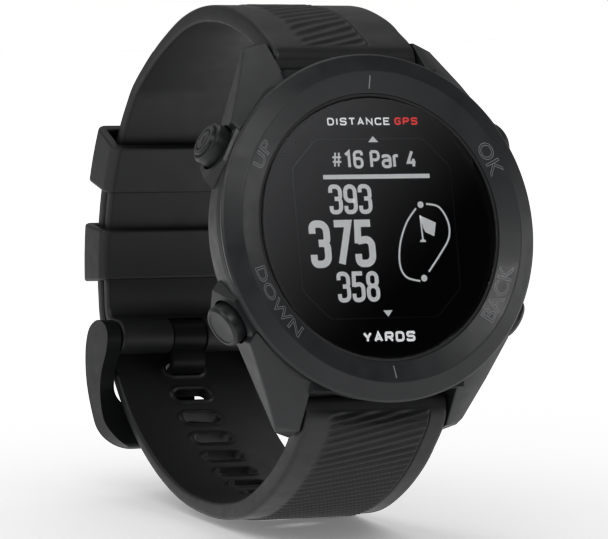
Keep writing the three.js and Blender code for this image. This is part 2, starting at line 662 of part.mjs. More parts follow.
add('buckle_frame', buckleFrame(), 'buckle');
add('buckle_bar', rod(BUCKLE_BAR_RADIUS, [-BUCKLE_BAR_HALF_LENGTH, BUCKLE_BAR_HALF_LENGTH], BUCKLE_BAR, 14),
  'steel');

// The tongue hangs on the bar, passes square through slot 0 and rests on the crossbar.
function buckleTongue() {
  const slotCentre = polar(LOOP_CENTRE, 30.15, TONGUE_SLOT_ANGLE);
  const through = new THREE.Vector2(...onCircle(1, TONGUE_SLOT_ANGLE));
  const along = new THREE.Vector2(-through.y, through.x).multiplyScalar(-0.25);
  const at = (distance) => slotCentre.clone().addScaledVector(through, distance).add(along);
  const line = new THREE.SplineCurve([
    new THREE.Vector2(buckleBar.x - 0.2, buckleBar.y - 1.6),
    new THREE.Vector2(buckleBar.x - 0.55, buckleBar.y - 3.3),
    at(-1.7), at(0), at(1.5),
    new THREE.Vector2(50.5, -13.4),
    new THREE.Vector2(50.3, -16.4),
    new THREE.Vector2(...TONGUE_TIP),
  ]);
  const shank = sideBody(bandOutline(line, () => TONGUE_THICKNESS, 16, true), TONGUE_WIDTH, 0.2);
  const eye = rod(TONGUE_RING_RADIUS, [-TONGUE_WIDTH / 2, TONGUE_WIDTH / 2], BUCKLE_BAR, 16);
  return toGeometry(cut(join(toSolid(shank), eye), rod(BUCKLE_BAR_RADIUS + GAP, [-5, 5], BUCKLE_BAR, 14)));
}

add('buckle_tongue', buckleTongue(), 'buckle');

export default group;
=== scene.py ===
"""Looks of the golf GPS watch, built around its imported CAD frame. Lengths are in millimetres and become
metres when a piece is made. The watch lies with -Y out of the dial, +Z to 12 o'clock and +X to 3 o'clock."""

import json
import math

import bmesh
import bpy
import numpy as np
from mathutils import Matrix, Vector

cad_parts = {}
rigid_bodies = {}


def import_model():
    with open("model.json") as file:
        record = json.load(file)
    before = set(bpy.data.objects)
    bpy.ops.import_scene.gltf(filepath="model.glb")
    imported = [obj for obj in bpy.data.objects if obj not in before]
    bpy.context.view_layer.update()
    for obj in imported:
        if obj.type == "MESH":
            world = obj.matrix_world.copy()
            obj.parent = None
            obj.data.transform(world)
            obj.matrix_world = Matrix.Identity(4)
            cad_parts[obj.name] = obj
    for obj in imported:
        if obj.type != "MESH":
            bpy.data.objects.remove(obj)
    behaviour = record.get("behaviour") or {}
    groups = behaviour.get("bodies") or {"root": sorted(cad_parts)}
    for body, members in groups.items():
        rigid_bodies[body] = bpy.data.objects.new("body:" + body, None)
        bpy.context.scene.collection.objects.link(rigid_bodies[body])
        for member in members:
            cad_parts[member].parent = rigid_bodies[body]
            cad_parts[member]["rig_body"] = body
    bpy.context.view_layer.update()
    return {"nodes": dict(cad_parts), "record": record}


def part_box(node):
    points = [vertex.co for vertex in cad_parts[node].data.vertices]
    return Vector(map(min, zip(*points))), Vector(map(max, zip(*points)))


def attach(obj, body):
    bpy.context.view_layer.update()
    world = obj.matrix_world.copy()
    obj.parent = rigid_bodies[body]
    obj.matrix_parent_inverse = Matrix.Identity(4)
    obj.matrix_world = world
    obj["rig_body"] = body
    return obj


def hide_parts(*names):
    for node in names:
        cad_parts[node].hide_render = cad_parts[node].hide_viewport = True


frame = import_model()

MM = 0.001
TURN = 2 * math.pi
SEGMENTS = 160                      # of the large round parts
SMALL_SEGMENTS = 48                 # of pins and caps


# ---- sizes taken from the frame


def extent(node, axis, side):
    """Where a CAD node ends along an axis, in millimetres; side 0 is its low end and 1 its high end."""
    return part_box(node)[side][axis] / MM


def middle(node):
    """The [y, z] middle of a CAD node in millimetres."""
    return tuple((extent(node, axis, 0) + extent(node, axis, 1)) / 2 for axis in (1, 2))


BEZEL_R = extent("bezel_ring", 0, 1)
RIDGE_DEPTH = -extent("bezel_ring", 1, 0)
BEZEL_BACK = -extent("bezel_ring", 1, 1)
CASE_FRONT = -extent("case_body", 1, 0)
LENS_R = extent("lens", 0, 1)
LENS_FRONT = -extent("lens", 1, 0)
LENS_BACK = -extent("lens", 1, 1)
PANEL_FRONT = -extent("display_panel", 1, 0)
COVER_R = extent("rear_cover", 0, 1)
BAR_DEPTH = -middle("upper_spring_bar")[0]
BAR_Z = middle("upper_spring_bar")[1]
STRAP_HALF = extent("upper_strap", 0, 1)
BUCKLE_BAR = middle("buckle_bar")
FRAME_HALF = extent("buckle_frame", 0, 1)
BUCKLE_PIN_HALF = extent("buckle_bar", 0, 1)
TONGUE_HALF = extent("buckle_tongue", 0, 1) + 0.15
KEEPER_HALF = extent("upper_keeper", 0, 1)


# ---- outlines


def rounded(outline, radius, steps=4):
    """A closed outline with its corners turned into arcs. The radius is one number or one for each corner."""
    result = []
    count = len(outline)
    for i, corner in enumerate(outline):
        wanted = radius[i] if isinstance(radius, (list, tuple)) else radius
        here, before, after = Vector(corner), Vector(outline[i - 1]), Vector(outline[(i + 1) % count])
        back, on = before - here, after - here
        half = back.angle(on) / 2
        if wanted <= 0 or half > 1.55:
            result.append(tuple(corner))
            continue
        cut = min(wanted / math.tan(half), back.length * 0.49, on.length * 0.49)
        radius_here = cut * math.tan(half)
        centre = here + (back.normalized() + on.normalized()).normalized() * (radius_here / math.sin(half))
        start, end = here + back.normalized() * cut - centre, here + on.normalized() * cut - centre
        first = math.atan2(start.y, start.x)
        sweep = (math.atan2(end.y, end.x) - first + math.pi) % TURN - math.pi
        for k in range(steps + 1):
            angle = first + sweep * k / steps
            result.append((centre.x + radius_here * math.cos(angle),
                           centre.y + radius_here * math.sin(angle)))
    return result


def oblong(half_width, low, high):
    """A rectangle that is as wide on the left as on the right."""
    return [(-half_width, low), (half_width, low), (half_width, high), (-half_width, high)]


def cubic(a, b, c, d, w):
    """A smooth curve from b to c that heads for a and d beyond them, at the share w of the way."""
    v, u = (c - a) / 2, (d - b) / 2
    return (2 * b - 2 * c + v + u) * w**3 + (3 * c - 3 * b - 2 * v - u) * w**2 + v * w + b


def spline(points, count):
    """Points at equal distances along a smooth open line through the given points, and the distances."""
    p = np.array(points, float)
    t = np.linspace(0, len(p) - 1, 3000)
    i = np.minimum(t.astype(int), len(p) - 2)
    w = (t - i)[:, None]
    fine = cubic(p[np.maximum(i - 1, 0)], p[i], p[i + 1], p[np.minimum(i + 2, len(p) - 1)], w)
    run = np.concatenate([[0], np.cumsum(np.hypot(*np.diff(fine, axis=0).T))])
    at = np.linspace(0, run[-1], count)
    return np.stack([np.interp(at, run, fine[:, 0]), np.interp(at, run, fine[:, 1])], 1), at


def smooth_closed(points, steps=6):
    """A closed outline made smooth through its points."""
    p = np.array(points, float)
    t = np.arange(0, len(p), 1 / steps)
    i = t.astype(int)
    w = (t - i)[:, None]
    return cubic(*(p[(i + k) % len(p)] for k in (-1, 0, 1, 2)), w).tolist()


def polar(centre, radius, angle):
    a = math.radians(angle)
    return (centre[0] + radius * math.cos(a), centre[1] + radius * math.sin(a))


def ease(low, high, value):
    """Smooth step from 0 at low to 1 at high, for numbers and arrays."""
    t = np.clip((np.asarray(value, float) - low) / (high - low), 0, 1)
    return t * t * (3 - 2 * t)


# ---- solids


def solid(points, faces):
    """An object from points in millimetres, with its faces turned outward."""
    mesh = bpy.data.meshes.new("shape")
    mesh.from_pydata([[c * MM for c in p] for p in points], [], [list(f) for f in faces])
    return placed(welded(mesh, 1e-7))


def welded(mesh, distance):
    """The mesh with double points made one and its faces turned outward."""
    bm = bmesh.new()
    bm.from_mesh(mesh)
    bmesh.ops.remove_doubles(bm, verts=bm.verts, dist=distance)
    bmesh.ops.recalc_face_normals(bm, faces=bm.faces)
    bm.to_mesh(mesh)
    bm.free()
    return mesh


def placed(mesh):
    """A new object that shows the mesh."""
    obj = bpy.data.objects.new("shape", mesh)
    bpy.context.scene.collection.objects.link(obj)
    return obj


def dial_place(u, v, t):
    """The dial axis: t is the depth forward from the case back."""
    return (u, -t, v)


def depth_place(u, v, t):
    """Outlines face the dial, and t runs along +Y."""
    return (u, t, v)


def cross_place(y, z):
    """An axis along X through the point [y, z]."""
    return lambda u, v, t: (t, y + u, z + v)


def revolve(profile, place=dial_place, segments=SEGMENTS):
    """A closed body of revolution; the profile is a list of (radius, distance along the axis)."""
    points, faces, rings = [], [], []
    for radius, t in profile:
        turns = 1 if radius < 1e-6 else segments
        rings.append(range(len(points), len(points) + turns))
        points += [place(radius * math.cos(TURN * k / segments), radius * math.sin(TURN * k / segments), t)
                   for k in range(turns)]
    for a, b in zip(rings, rings[1:] + rings[:1]):
        for k in range(segments if len(a) + len(b) > 2 else 0):
            corners = [a[k % len(a)], a[(k + 1) % len(a)], b[(k + 1) % len(b)], b[k % len(b)]]
            faces.append(list(dict.fromkeys(corners)))
    return solid(points, faces)


def cylinder(radius, low, high, place=dial_place, segments=SMALL_SEGMENTS):
    return revolve([(0, low), (radius, low), (radius, high), (0, high)], place, segments)


def prism(outline, low, high, place):
    """A solid of constant outline; place turns (outline u, outline v, distance along) into a point."""
    n = len(outline)
    points = [place(u, v, t) for t in (low, high) for u, v in outline]
    sides = [(k, (k + 1) % n, n + (k + 1) % n, n + k) for k in range(n)]
    return solid(points, [range(n), range(n, 2 * n)] + sides)


def side_prism(outline, half_width):
    """A prism across the strap, from an outline of [y, z] points."""
    return prism(outline, -half_width, half_width, lambda u, v, t: (t, u, v))


def face_prism(outline, back, front):
    """A prism along the dial axis, from an outline of [x, z] points, between two depths."""
    return prism(outline, back, front, dial_place)


def block(x, y, z):
    outline = [(x[0], y[0]), (x[1], y[0]), (x[1], y[1]), (x[0], y[1])]
    return prism(outline, *z, lambda u, v, t: (u, v, t))


def hull(points):
    """The smallest convex solid that holds the points."""
    obj = solid(points, [])
    bm = bmesh.new()
    bm.from_mesh(obj.data)
    made = bmesh.ops.convex_hull(bm, input=bm.verts)
    spare = {v for v in made["geom_interior"] + made["geom_unused"] if isinstance(v, bmesh.types.BMVert)}
    bmesh.ops.delete(bm, geom=list(spare), context="VERTS")
    bmesh.ops.recalc_face_normals(bm, faces=bm.faces)
    bm.to_mesh(obj.data)
    bm.free()
    return obj


def settle(obj):
    """Applies the object's modifiers."""
    shown = obj.evaluated_get(bpy.context.evaluated_depsgraph_get())
    mesh = bpy.data.meshes.new_from_object(shown)
    obj.modifiers.clear()
    obj.data = mesh
    return obj


def combine(obj, tools, operation):
    for tool in tools:
        modifier = obj.modifiers.new("combine", "BOOLEAN")
        modifier.object, modifier.operation, modifier.solver = tool, operation, "EXACT"
        settle(obj)
        bpy.data.objects.remove(tool)
    return obj


def cut(obj, *tools):
    return combine(obj, tools, "DIFFERENCE")


def join(obj, *tools):
    return combine(obj, tools, "UNION")


def soften(obj, width, steps=3, angle=32):
    """Rounds every edge sharper than the angle."""
    modifier = obj.modifiers.new("soften", "BEVEL")
    modifier.width, modifier.segments = width * MM, steps
    modifier.limit_method, modifier.angle_limit = "ANGLE", math.radians(angle)
    return settle(obj)


def merged(objects):
    """One object from several that don't touch."""
    bm = bmesh.new()
    for obj in objects:
        bm.from_mesh(obj.data)
        bpy.data.objects.remove(obj)
    mesh = bpy.data.meshes.new("merged")
    bm.to_mesh(mesh)
    bm.free()
    return placed(mesh)


def dress(obj, name, node, material=None, slot=None, angle=30):
    """Names a finished shape, gives it its material and shading, and puts it on the CAD node's body. The
    material and the slot are the node's own unless others are given."""
    slot = slot or NODE_SLOTS[node]
    obj.name = obj.data.name = name
    obj.data.materials.clear()
    obj.data.materials.append(material or SLOT_MATERIALS[slot])
    for polygon in obj.data.polygons:
        polygon.material_index = 0
    obj.data.shade_smooth()
    obj.data.set_sharp_from_angle(angle=math.radians(angle))
    obj.modifiers.new("flat faces stay flat", "WEIGHTED_NORMAL").keep_sharp = True
    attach(obj, frame["nodes"][node]["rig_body"])


def stand_in(obj, name, node, angle=30):
    """A finished shape that is shown in place of the CAD node."""
    dress(obj, name, node, angle=angle)
    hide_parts(node)


# ---- materials


NOISE_RANGE = (0.3, 0.7)            # where most of a noise texture's values lie


def add_node(tree, kind, **sockets):
    """A shader node with these values in its sockets; an underscore stands for a space."""
    node = tree.nodes.new(f"ShaderNode{kind}")
    for socket, value in sockets.items():
        node.inputs[socket.replace("_", " ")].default_value = value
    return node


class Finish:
    """A Principled material with helpers for the procedural detail around it."""

    def __init__(self, name, colour, roughness, **sockets):
        self.material = bpy.data.materials.new(name)
        self.material.use_nodes = True
        self.tree = self.material.node_tree
        self.shader = self.tree.nodes["Principled BSDF"]
        self.set("Base Color", (*colour, 1))
        self.set("Roughness", roughness)
        for socket, value in sockets.items():
            self.set(socket.replace("_", " "), value)
        self.colour, self.roughness = colour, roughness
        self.coordinates = self.node("TexCoord")

    def set(self, socket, value):
        self.shader.inputs[socket].default_value = value

    def node(self, kind, **sockets):
        return add_node(self.tree, kind, **sockets)

    def link(self, output, node, socket):
        self.tree.links.new(output, node.inputs[socket])

    def noise(self, scale, detail, stretch=None):
        """Noise in the object's own space; the scale is in cells a millimetre."""
        noise = self.node("TexNoise", Scale=scale / MM, Detail=detail)
        source = self.coordinates.outputs["Object"]
        if stretch:
            mapping = self.node("Mapping", Scale=stretch)
            self.link(source, mapping, "Vector")
            source = mapping.outputs["Vector"]
        self.link(source, noise, "Vector")
        return noise.outputs["Fac"]

    def vary_colour(self, value, low, high):
        """Colour between two multiples of the base colour."""
        ramp = self.node("ValToRGB")
        for element, at, share in zip(ramp.color_ramp.elements, NOISE_RANGE, (low, high)):
            element.position = at
            element.color = (*(min(1, c * share) for c in self.colour), 1)
        self.link(value, ramp, "Fac")
        self.link(ramp.outputs["Color"], self.shader, "Base Color")

    def vary_roughness(self, value, spread):
        span = self.node("MapRange", From_Min=NOISE_RANGE[0], From_Max=NOISE_RANGE[1],
                         To_Min=self.roughness - spread, To_Max=self.roughness + spread)
        self.link(value, span, "Value")
        self.link(span.outputs["Result"], self.shader, "Roughness")

    def bump(self, value, height, strength):
        """Relief of a height in millimetres."""
        bump = self.node("Bump", Distance=height * MM, Strength=strength)
        self.link(value, bump, "Height")
        self.link(bump.outputs["Normal"], self.shader, "Normal")


def moulded(name, colour, roughness, grain, relief, wear=0.06, **sockets):
    """Moulded plastic or rubber: a fine grain, slow patches of tone and an uneven gloss."""
    finish = Finish(name, colour, roughness, **sockets)
    finish.vary_colour(finish.noise(0.12, 3), 0.86, 1.14)
    finish.vary_roughness(finish.noise(0.5, 4), wear)
    finish.bump(finish.noise(grain, 3), relief, 0.6)
    return finish.material


def metal(name, colour, roughness, stretch, **sockets):
    """Drawn or turned metal, with fine lines one way."""
    finish = Finish(name, colour, roughness, Metallic=1.0, **sockets)
    lines = finish.noise(2.0, 3, stretch)
    finish.vary_colour(lines, 0.85, 1.0)
    finish.vary_roughness(lines, 0.08)
    finish.bump(lines, 0.006, 0.5)
    return finish.material


def glowing_print(name, colour, glow):
    """Light ink or display segments, with the faint unevenness of a reflective panel. They glow with painted
    light that stands in for the lamps' light, which the lens glass keeps from reaching them.
    """
    finish = Finish(name, colour, 0.5)
    finish.vary_colour(finish.noise(1.5, 2), 0.94, 1.0)
    finish.set("Emission Color", (*colour, 1))
    finish.set("Emission Strength", glow)
    return finish.material


def glass(name):
    finish = Finish(name, (0.93, 0.95, 0.96), 0.006, IOR=1.5)
    finish.set("Transmission Weight", 1.0)
    finish.vary_roughness(finish.noise(0.08, 2), 0.004)
    return finish.material


SLOT_MATERIALS = {slot: moulded(slot, *look) for slot, look in {
    "case_polymer": ((0.020, 0.021, 0.023), 0.42, 2.6, 0.012),
    "bezel_polymer": ((0.016, 0.017, 0.019), 0.40, 3.0, 0.008),
    "strap_silicone": ((0.013, 0.0135, 0.014), 0.46, 3.2, 0.010, 0.05),
    "button_cap": ((0.014, 0.015, 0.016), 0.36, 3.0, 0.006),
    "seal_rubber": ((0.016, 0.016, 0.017), 0.7, 2.0, 0.010),
    "inner_plastic": ((0.05, 0.05, 0.055), 0.6, 2.0, 0.010),
    "board": ((0.010, 0.06, 0.03), 0.5, 1.2, 0.010),
    "flex": ((0.30, 0.14, 0.03), 0.45, 1.2, 0.004),
}.items()}
SLOT_MATERIALS |= {
    "buckle_polymer": moulded("buckle_polymer", (0.010, 0.0105, 0.011), 0.32, 2.2, 0.006,
                              Specular_IOR_Level=0.18),
    "display": moulded("display_panel", (0.0045, 0.0045, 0.0055), 0.45, 1.5, 0.0005, 0.01,
                       Specular_IOR_Level=0.08),
    "steel": metal("steel", (0.62, 0.63, 0.64), 0.28, (0.06, 1, 1)),
    "gold_contact": metal("gold_contact", (0.83, 0.62, 0.28), 0.25, (1, 0.06, 1)),
    "foil": metal("foil", (0.66, 0.67, 0.69), 0.38, (1, 1, 0.1)),
    "lens_glass": glass("lens_glass"),
}
RUBBER = SLOT_MATERIALS["seal_rubber"]
MARK = moulded("engraved_line", (0.28, 0.285, 0.30), 0.5, 2.0, 0.002)
BORDER = moulded("lens_border", (0.004, 0.004, 0.005), 0.45, 1.0, 0.0005, 0.01, Specular_IOR_Level=0.08)
# The display inks glow: painted light standing in for the lamps' light that the lens glass keeps off them.
LIGHT_INK = glowing_print("light_segments", (0.80, 0.80, 0.80), 0.42)
WHITE_INK = glowing_print("white_ink", (0.92, 0.92, 0.92), 0.65)
RED_INK = glowing_print("red_ink", (0.75, 0.035, 0.03), 0.75)
NODE_SLOTS = {part["node"]: part["material_slot"] for part in frame["record"]["subparts"]}


def cover_cad_nodes():
    """Every CAD node gets the procedural material of its slot."""
    for name, node in frame["nodes"].items():
        node.data.materials.clear()
        node.data.materials.append(SLOT_MATERIALS[NODE_SLOTS[name]])


# ---- case

CASE_R = BEZEL_R - 0.4
LUG_INNER = 10.3
STRAP_WALL_Z = 20.05
LUG_CORNERS = [
    (10.3, -9.3, 13), (10.3, -8.8, 18.9), (10.3, -4.2, 24.4), (10.3, -1.2, 24.8), (10.3, -0.6, 21),
    (10.3, -0.6, 13), (12.4, -1.4, 24.1), (12.9, -2.4, 24.0), (13.3, -3.4, 23.3), (13.4, -8.7, 17.8),
    (15.6, -6.0, 18.8), (18.2, -8.2, 13.8),
    (17.7, -9.3, 12.6), (15.9, -2.8, 14.8), (18.2, -4.0, 12.4), (16.0, -1.6, 11.4),
]
BUTTON_DEPTH = -middle("up_button")[0]
BUTTONS = {"up": 150, "ok": 30, "down": 209, "back": -29}      # degrees from 3 o'clock
RECESS_R = 3.0
RECESS_FLOOR = 19.0
SHAFT_HOLE_R = 1.1
SCREW_CIRCLE = 15.6
SCREW_ANGLES = (60, 120, 240, 300)


def button_place(angle):
    """The axis of a button: t is the distance out from the dial axis, u runs along the case edge and v to
    the back."""
    a = math.radians(angle)
    along, out = Vector((-math.sin(a), 0, math.cos(a))), Vector((math.cos(a), 0, math.sin(a)))

    def place(u, v, t):
        return tuple(out * t + along * u + Vector((0, v - BUTTON_DEPTH, 0)))

    return place


GUARD_OUTLINE = [(5.0, 0), (2.5, 3.5), (-2.5, 3.5), (-5.0, 0), (-2.5, -3.8), (2.5, -3.8)]


def guard(angle):
    """The faceted surround of a button: a low six-sided boss that points both ways along the case edge."""
    place = button_place(angle)
    return hull([place(u * share, v * share, reach)
                 for reach, share in ((18.5, 1.0), (20.6, 1.0), (21.9, 0.9)) for u, v in GUARD_OUTLINE])


def case_body():
    outside = rounded([
        (0, CASE_FRONT), (CASE_R - 0.3, CASE_FRONT), (CASE_R, CASE_FRONT - 0.3), (CASE_R, 8.2),
        (20.9, 5.2), (20.1, 3.2), (19.2, 1.9), (0, 1.9),
    ], [0, 0.2, 0.2, 0.6, 0.6, 0.6, 0.3, 0])
    body = revolve(outside)
    for sign_x in (-1, 1):
        for sign_z in (-1, 1):
            join(body, soften(hull([(sign_x * x, y, sign_z * z) for x, y, z in LUG_CORNERS]), 0.22))
    for sign in (-1, 1):
        low, high = sorted((sign * 15, sign * STRAP_WALL_Z))
        join(body, block((-LUG_INNER - 0.3, LUG_INNER + 0.3), (-9.2, -2.2), (low, high)))
    for angle in BUTTONS.values():
        join(body, guard(angle))
    opening = LENS_R + 0.35
    cut(body, revolve([
        (0, 12), (opening, 12), (opening, 8.2), (15.2, 8.2), (15.2, 7.4), (17.4, 7.4), (17.4, 2.9),
        (18.1, 2.9), (18.1, 1.9), (COVER_R + 0.3, 1.9), (COVER_R + 0.3, -1), (0, -1),
    ]))
    for angle in BUTTONS.values():
        place = button_place(angle)
        cut(body, revolve([(0, 15), (SHAFT_HOLE_R, 15), (SHAFT_HOLE_R, RECESS_FLOOR),
                           (RECESS_R, RECESS_FLOOR), (RECESS_R, 26), (0, 26)], place, 60))
    for sign in (-1, 1):
        low, high = sorted((sign * STRAP_WALL_Z, sign * 30))
        cut(body, block((-LUG_INNER, LUG_INNER), (-6.9, 2), (low, high)),
            cylinder(0.65, -11.6, 11.6, cross_place(-BAR_DEPTH, sign * BAR_Z)))
    return soften(body, 0.07, 2, 40)


def build_case():
    stand_in(case_body(), "case_shell", "case_body")


# ---- bezel and its markings

SLOPE_INNER = (LENS_R + 0.3, LENS_FRONT + 0.1)      # radius and depth of the bezel's inner edge
RIDGE_R = 19.5
LABELS = {"UP": (150.0, 1), "OK": (27.5, 1), "DOWN": (210.5, -1), "BACK": (-29.5, -1)}
LABEL_SIZE = 2.5
LABEL_STRETCH = 1.2
LABEL_R = 18.15
LINE_R = 0.032


def build_bezel():
    edge = LENS_FRONT + 0.1
    profile = rounded([
        (SLOPE_INNER[0], BEZEL_BACK), SLOPE_INNER, (RIDGE_R, RIDGE_DEPTH), (BEZEL_R - 0.25, edge),
        (BEZEL_R, edge - 0.3), (BEZEL_R - 0.15, BEZEL_BACK),
    ], [0, 0.08, 0.25, 0.08, 0.08, 0.1])
    stand_in(revolve(profile, segments=256), "bezel", "bezel_ring", 22)


def slope_place(angle, facing):
    """Puts flat lettering on the bezel's inner slope. facing 1 reads clockwise, -1 counter-clockwise."""
    rise = (RIDGE_DEPTH - SLOPE_INNER[1]) / (RIDGE_R - SLOPE_INNER[0])
    slant = math.hypot(1, rise)

    def place(u, v, w):
        radius = LABEL_R + facing * v / slant
        a = math.radians(angle) - facing * u / LABEL_R
        depth = SLOPE_INNER[1] + (radius - SLOPE_INNER[0]) * rise + w / slant
        return (radius * math.cos(a), -depth, radius * math.sin(a))

    return place


def lettering(text, place):
    """The outline of a generic word, each point put in place by a function of (right, up, out)."""
    curve = bpy.data.curves.new("text", "FONT")
    curve.body, curve.size = text, 1.0
    curve.align_x, curve.align_y = "CENTER", "CENTER"
    curve.fill_mode, curve.bevel_depth, curve.bevel_resolution = "NONE", LINE_R / LABEL_SIZE, 1
    curve.resolution_u = 3
    source = bpy.data.objects.new("text", curve)
    bpy.context.scene.collection.objects.link(source)
    mesh = bpy.data.meshes.new_from_object(source.evaluated_get(bpy.context.evaluated_depsgraph_get()))
    bpy.data.objects.remove(source)
    for vertex in mesh.vertices:
        u, v, w = vertex.co * LABEL_SIZE
        vertex.co = Vector(place(u * LABEL_STRETCH, v, w)) * MM
    return placed(welded(mesh, 1e-8))


def build_bezel_marks():
    for text, (angle, facing) in LABELS.items():
        word = lettering(text, slope_place(angle, facing))
        dress(word, f"bezel_label_{text.lower()}", "bezel_ring", MARK)
    for name, angle in (("12", 90), ("6", -90)):
        line = prism(rounded(oblong(0.07, -0.85, 0.85), 0.06), -0.05, 0.03, slope_place(angle, 1))
        dress(line, f"bezel_mark_{name}", "bezel_ring", MARK)


# ---- lens and display

WINDOW_HALF = (11.2, 11.3)
WINDOW_CORNER = 3.6
BORDER_DEPTHS = (PANEL_FRONT + 0.06, LENS_BACK - 0.07)
GRAPHIC_DEPTH = LENS_BACK - 0.04


def octagon(half_x, half_z, corner):
    corners = [(1, -1, 0, 1), (1, 1, 0, -1), (1, 1, -1, 0), (-1, 1, 1, 0), (-1, 1, 0, -1), (-1, -1, 0, 1),
               (-1, -1, 1, 0), (1, -1, -1, 0)]
    return [(sx * half_x + dx * corner, sz * half_z + dz * corner) for sx, sz, dx, dz in corners]


def build_lens():
    profile = rounded([
        (0, LENS_FRONT), (LENS_R - 0.8, LENS_FRONT), (LENS_R - 0.12, LENS_FRONT), (LENS_R - 0.12, LENS_BACK),
        (0, LENS_BACK),
    ], [0, 0, 0.02, 0.02, 0])
    stand_in(revolve(profile), "lens_crystal", "lens", 40)

    inner, outer, top = LENS_R - 0.1, SLOPE_INNER[0] - 0.02, LENS_FRONT - 0.04
    seal = rounded([(inner, 9.35), (inner, top), (outer, top), (outer, 9.35)], [0, 0.06, 0.06, 0])
    dress(revolve(seal), "lens_edge_seal", "bezel_ring", RUBBER, "seal_rubber")

    low, high = BORDER_DEPTHS
    border = cylinder(LENS_R - 0.1, low, high, segments=SEGMENTS)
    window = rounded(octagon(*WINDOW_HALF, WINDOW_CORNER), 1.6, 6)
    cut(border, face_prism(window, low - 1, high + 1))
    dress(border, "lens_border", "lens", BORDER)

    line = face_prism(window, low, high - 0.03)
    inner = rounded(octagon(WINDOW_HALF[0] - 0.14, WINDOW_HALF[1] - 0.14, WINDOW_CORNER), 1.55, 6)
    cut(line, face_prism(inner, low - 1, high + 1))
    dress(line, "display_window_edge", "display_panel", RUBBER)
    backing = rounded(octagon(WINDOW_HALF[0] + 0.5, WINDOW_HALF[1] + 0.5, WINDOW_CORNER), 1.6, 6)
    dress(face_prism(backing, PANEL_FRONT + 0.01, low - 0.01), "display_mask", "display_panel")


# Letters and figures as strokes in a box one wide and one high. R strokes have round corners, S strokes sharp
# ones; a stroke that ends where it begins is a loop.
GLYPHS = {
    "1": [("S", [(0.1, 0.8), (0.75, 1), (0.75, 0)])],
    "3": [("R", [(0, 0.76), (0, 1), (1, 1), (1, 0.52), (0.4, 0.52)]),
          ("R", [(0.4, 0.52), (1, 0.52), (1, 0), (0, 0), (0, 0.24)])],
    "4": [("S", [(0.6, 1), (0, 0.27), (1, 0.27)]), ("S", [(0.74, 0.5), (0.74, 0)])],
    "5": [("S", [(1, 1), (0.1, 1), (0.03, 0.5)]),
          ("R", [(0.03, 0.56), (1, 0.62), (1, 0), (0, 0), (0, 0.24)])],
    "6": [("R", [(1, 0.76), (1, 1), (0, 1), (0, 0), (1, 0), (1, 0.56), (0.1, 0.56)])],
    "7": [("S", [(0, 1), (1, 1), (0.36, 0)])],
    "8": [("R", [(0.04, 0.52), (0.04, 1), (0.96, 1), (0.96, 0.52), (0.04, 0.52)]),
          ("R", [(0, 0), (0, 0.52), (1, 0.52), (1, 0), (0, 0)])],
    "9": [("R", [(0.9, 0.44), (0, 0.44), (0, 1), (1, 1), (1, 0), (0, 0), (0, 0.24)])],
    "#": [("S", [(0.36, 0.95), (0.2, 0.05)]), ("S", [(0.8, 0.95), (0.64, 0.05)]),
          ("S", [(0, 0.65), (1, 0.65)]), ("S", [(0, 0.35), (1, 0.35)])],
    "a": [("R", [(0.05, 0.58), (0.05, 0.72), (1, 0.72), (1, 0)]),
          ("R", [(1, 0.42), (0, 0.42), (0, 0), (0.95, 0), (0.95, 0.2)])],
    "r": [("S", [(0, 0.72), (0, 0)]), ("R", [(0, 0.5), (0, 0.72), (0.9, 0.72)])],
    "P": [("S", [(0, 1), (0, 0)]), ("R", [(0, 1), (1, 1), (1, 0.46), (0, 0.46)])],
    "G": [("R", [(1, 0.78), (1, 1), (0, 1), (0, 0), (1, 0), (1, 0.5), (0.55, 0.5)])],
    "D": [("S", [(0, 1), (0, 0)]), ("R", [(0, 1), (1, 1), (1, 0), (0, 0)])],
    "I": [("S", [(0.5, 0), (0.5, 1)])],
    "S": [("R", [(1, 0.78), (1, 1), (0, 1), (0, 0.52), (1, 0.52), (1, 0), (0, 0), (0, 0.22)])],
    "T": [("S", [(0, 1), (1, 1)]), ("S", [(0.5, 1), (0.5, 0)])],
    "A": [("S", [(0, 0), (0.5, 1), (1, 0)]), ("S", [(0.17, 0.3), (0.83, 0.3)])],
    "N": [("S", [(0, 0), (0, 1), (1, 0), (1, 1)])],
    "C": [("R", [(1, 0.78), (1, 1), (0, 1), (0, 0), (1, 0), (1, 0.22)])],
    "E": [("S", [(1, 1), (0, 1), (0, 0), (1, 0)]), ("S", [(0, 0.52), (0.85, 0.52)])],
    "Y": [("S", [(0, 1), (0.5, 0.46), (1, 1)]), ("S", [(0.5, 0.5), (0.5, 0)])],
    "R": [("S", [(0, 1), (0, 0)]), ("R", [(0, 1), (1, 1), (1, 0.46), (0, 0.46)]),
          ("S", [(0.5, 0.46), (1, 0)])],
}
GLYPH_WIDTHS = {"1": 0.7, "I": 0.1, " ": 0.15, "r": 0.6, "#": 1.15}


def stroke(line, half, radius, place):
    """Points and faces of a flat stroke, half a width either side of a line."""
    loop = line[0] == line[-1]
    if loop:
        line = rounded(line[:-1], radius, 5)
    elif len(line) > 2:
        line = rounded(line, [0] + [radius] * (len(line) - 2) + [0], 5)
    points, n = [], len(line)
    for i, here in enumerate(line):
        before = Vector(line[i - 1]) if i or loop else None
        after = Vector(line[(i + 1) % n]) if i < n - 1 or loop else None
        here = Vector(here)
        ways = [(here - before).normalized()] if before is not None else []
        ways += [(after - here).normalized()] if after is not None else []
        along = sum(ways, Vector((0, 0))).normalized()
        reach = min(half / max(along.dot(ways[0]), 0.3), half * 2.2)
        across = Vector((-along.y, along.x)) * reach
        points += [place(*(here + across * side), t)
                   for side, t in ((1, 0.01), (-1, 0.01), (-1, -0.01), (1, -0.01))]
    faces = [(4 * i + k, 4 * i + (k + 1) % 4, 4 * ((i + 1) % n) + (k + 1) % 4, 4 * ((i + 1) % n) + k)
             for i in range(n if loop else n - 1) for k in range(4)]
    if not loop:
        faces += [(0, 1, 2, 3), tuple(range(4 * n - 4, 4 * n))]
    return points, faces


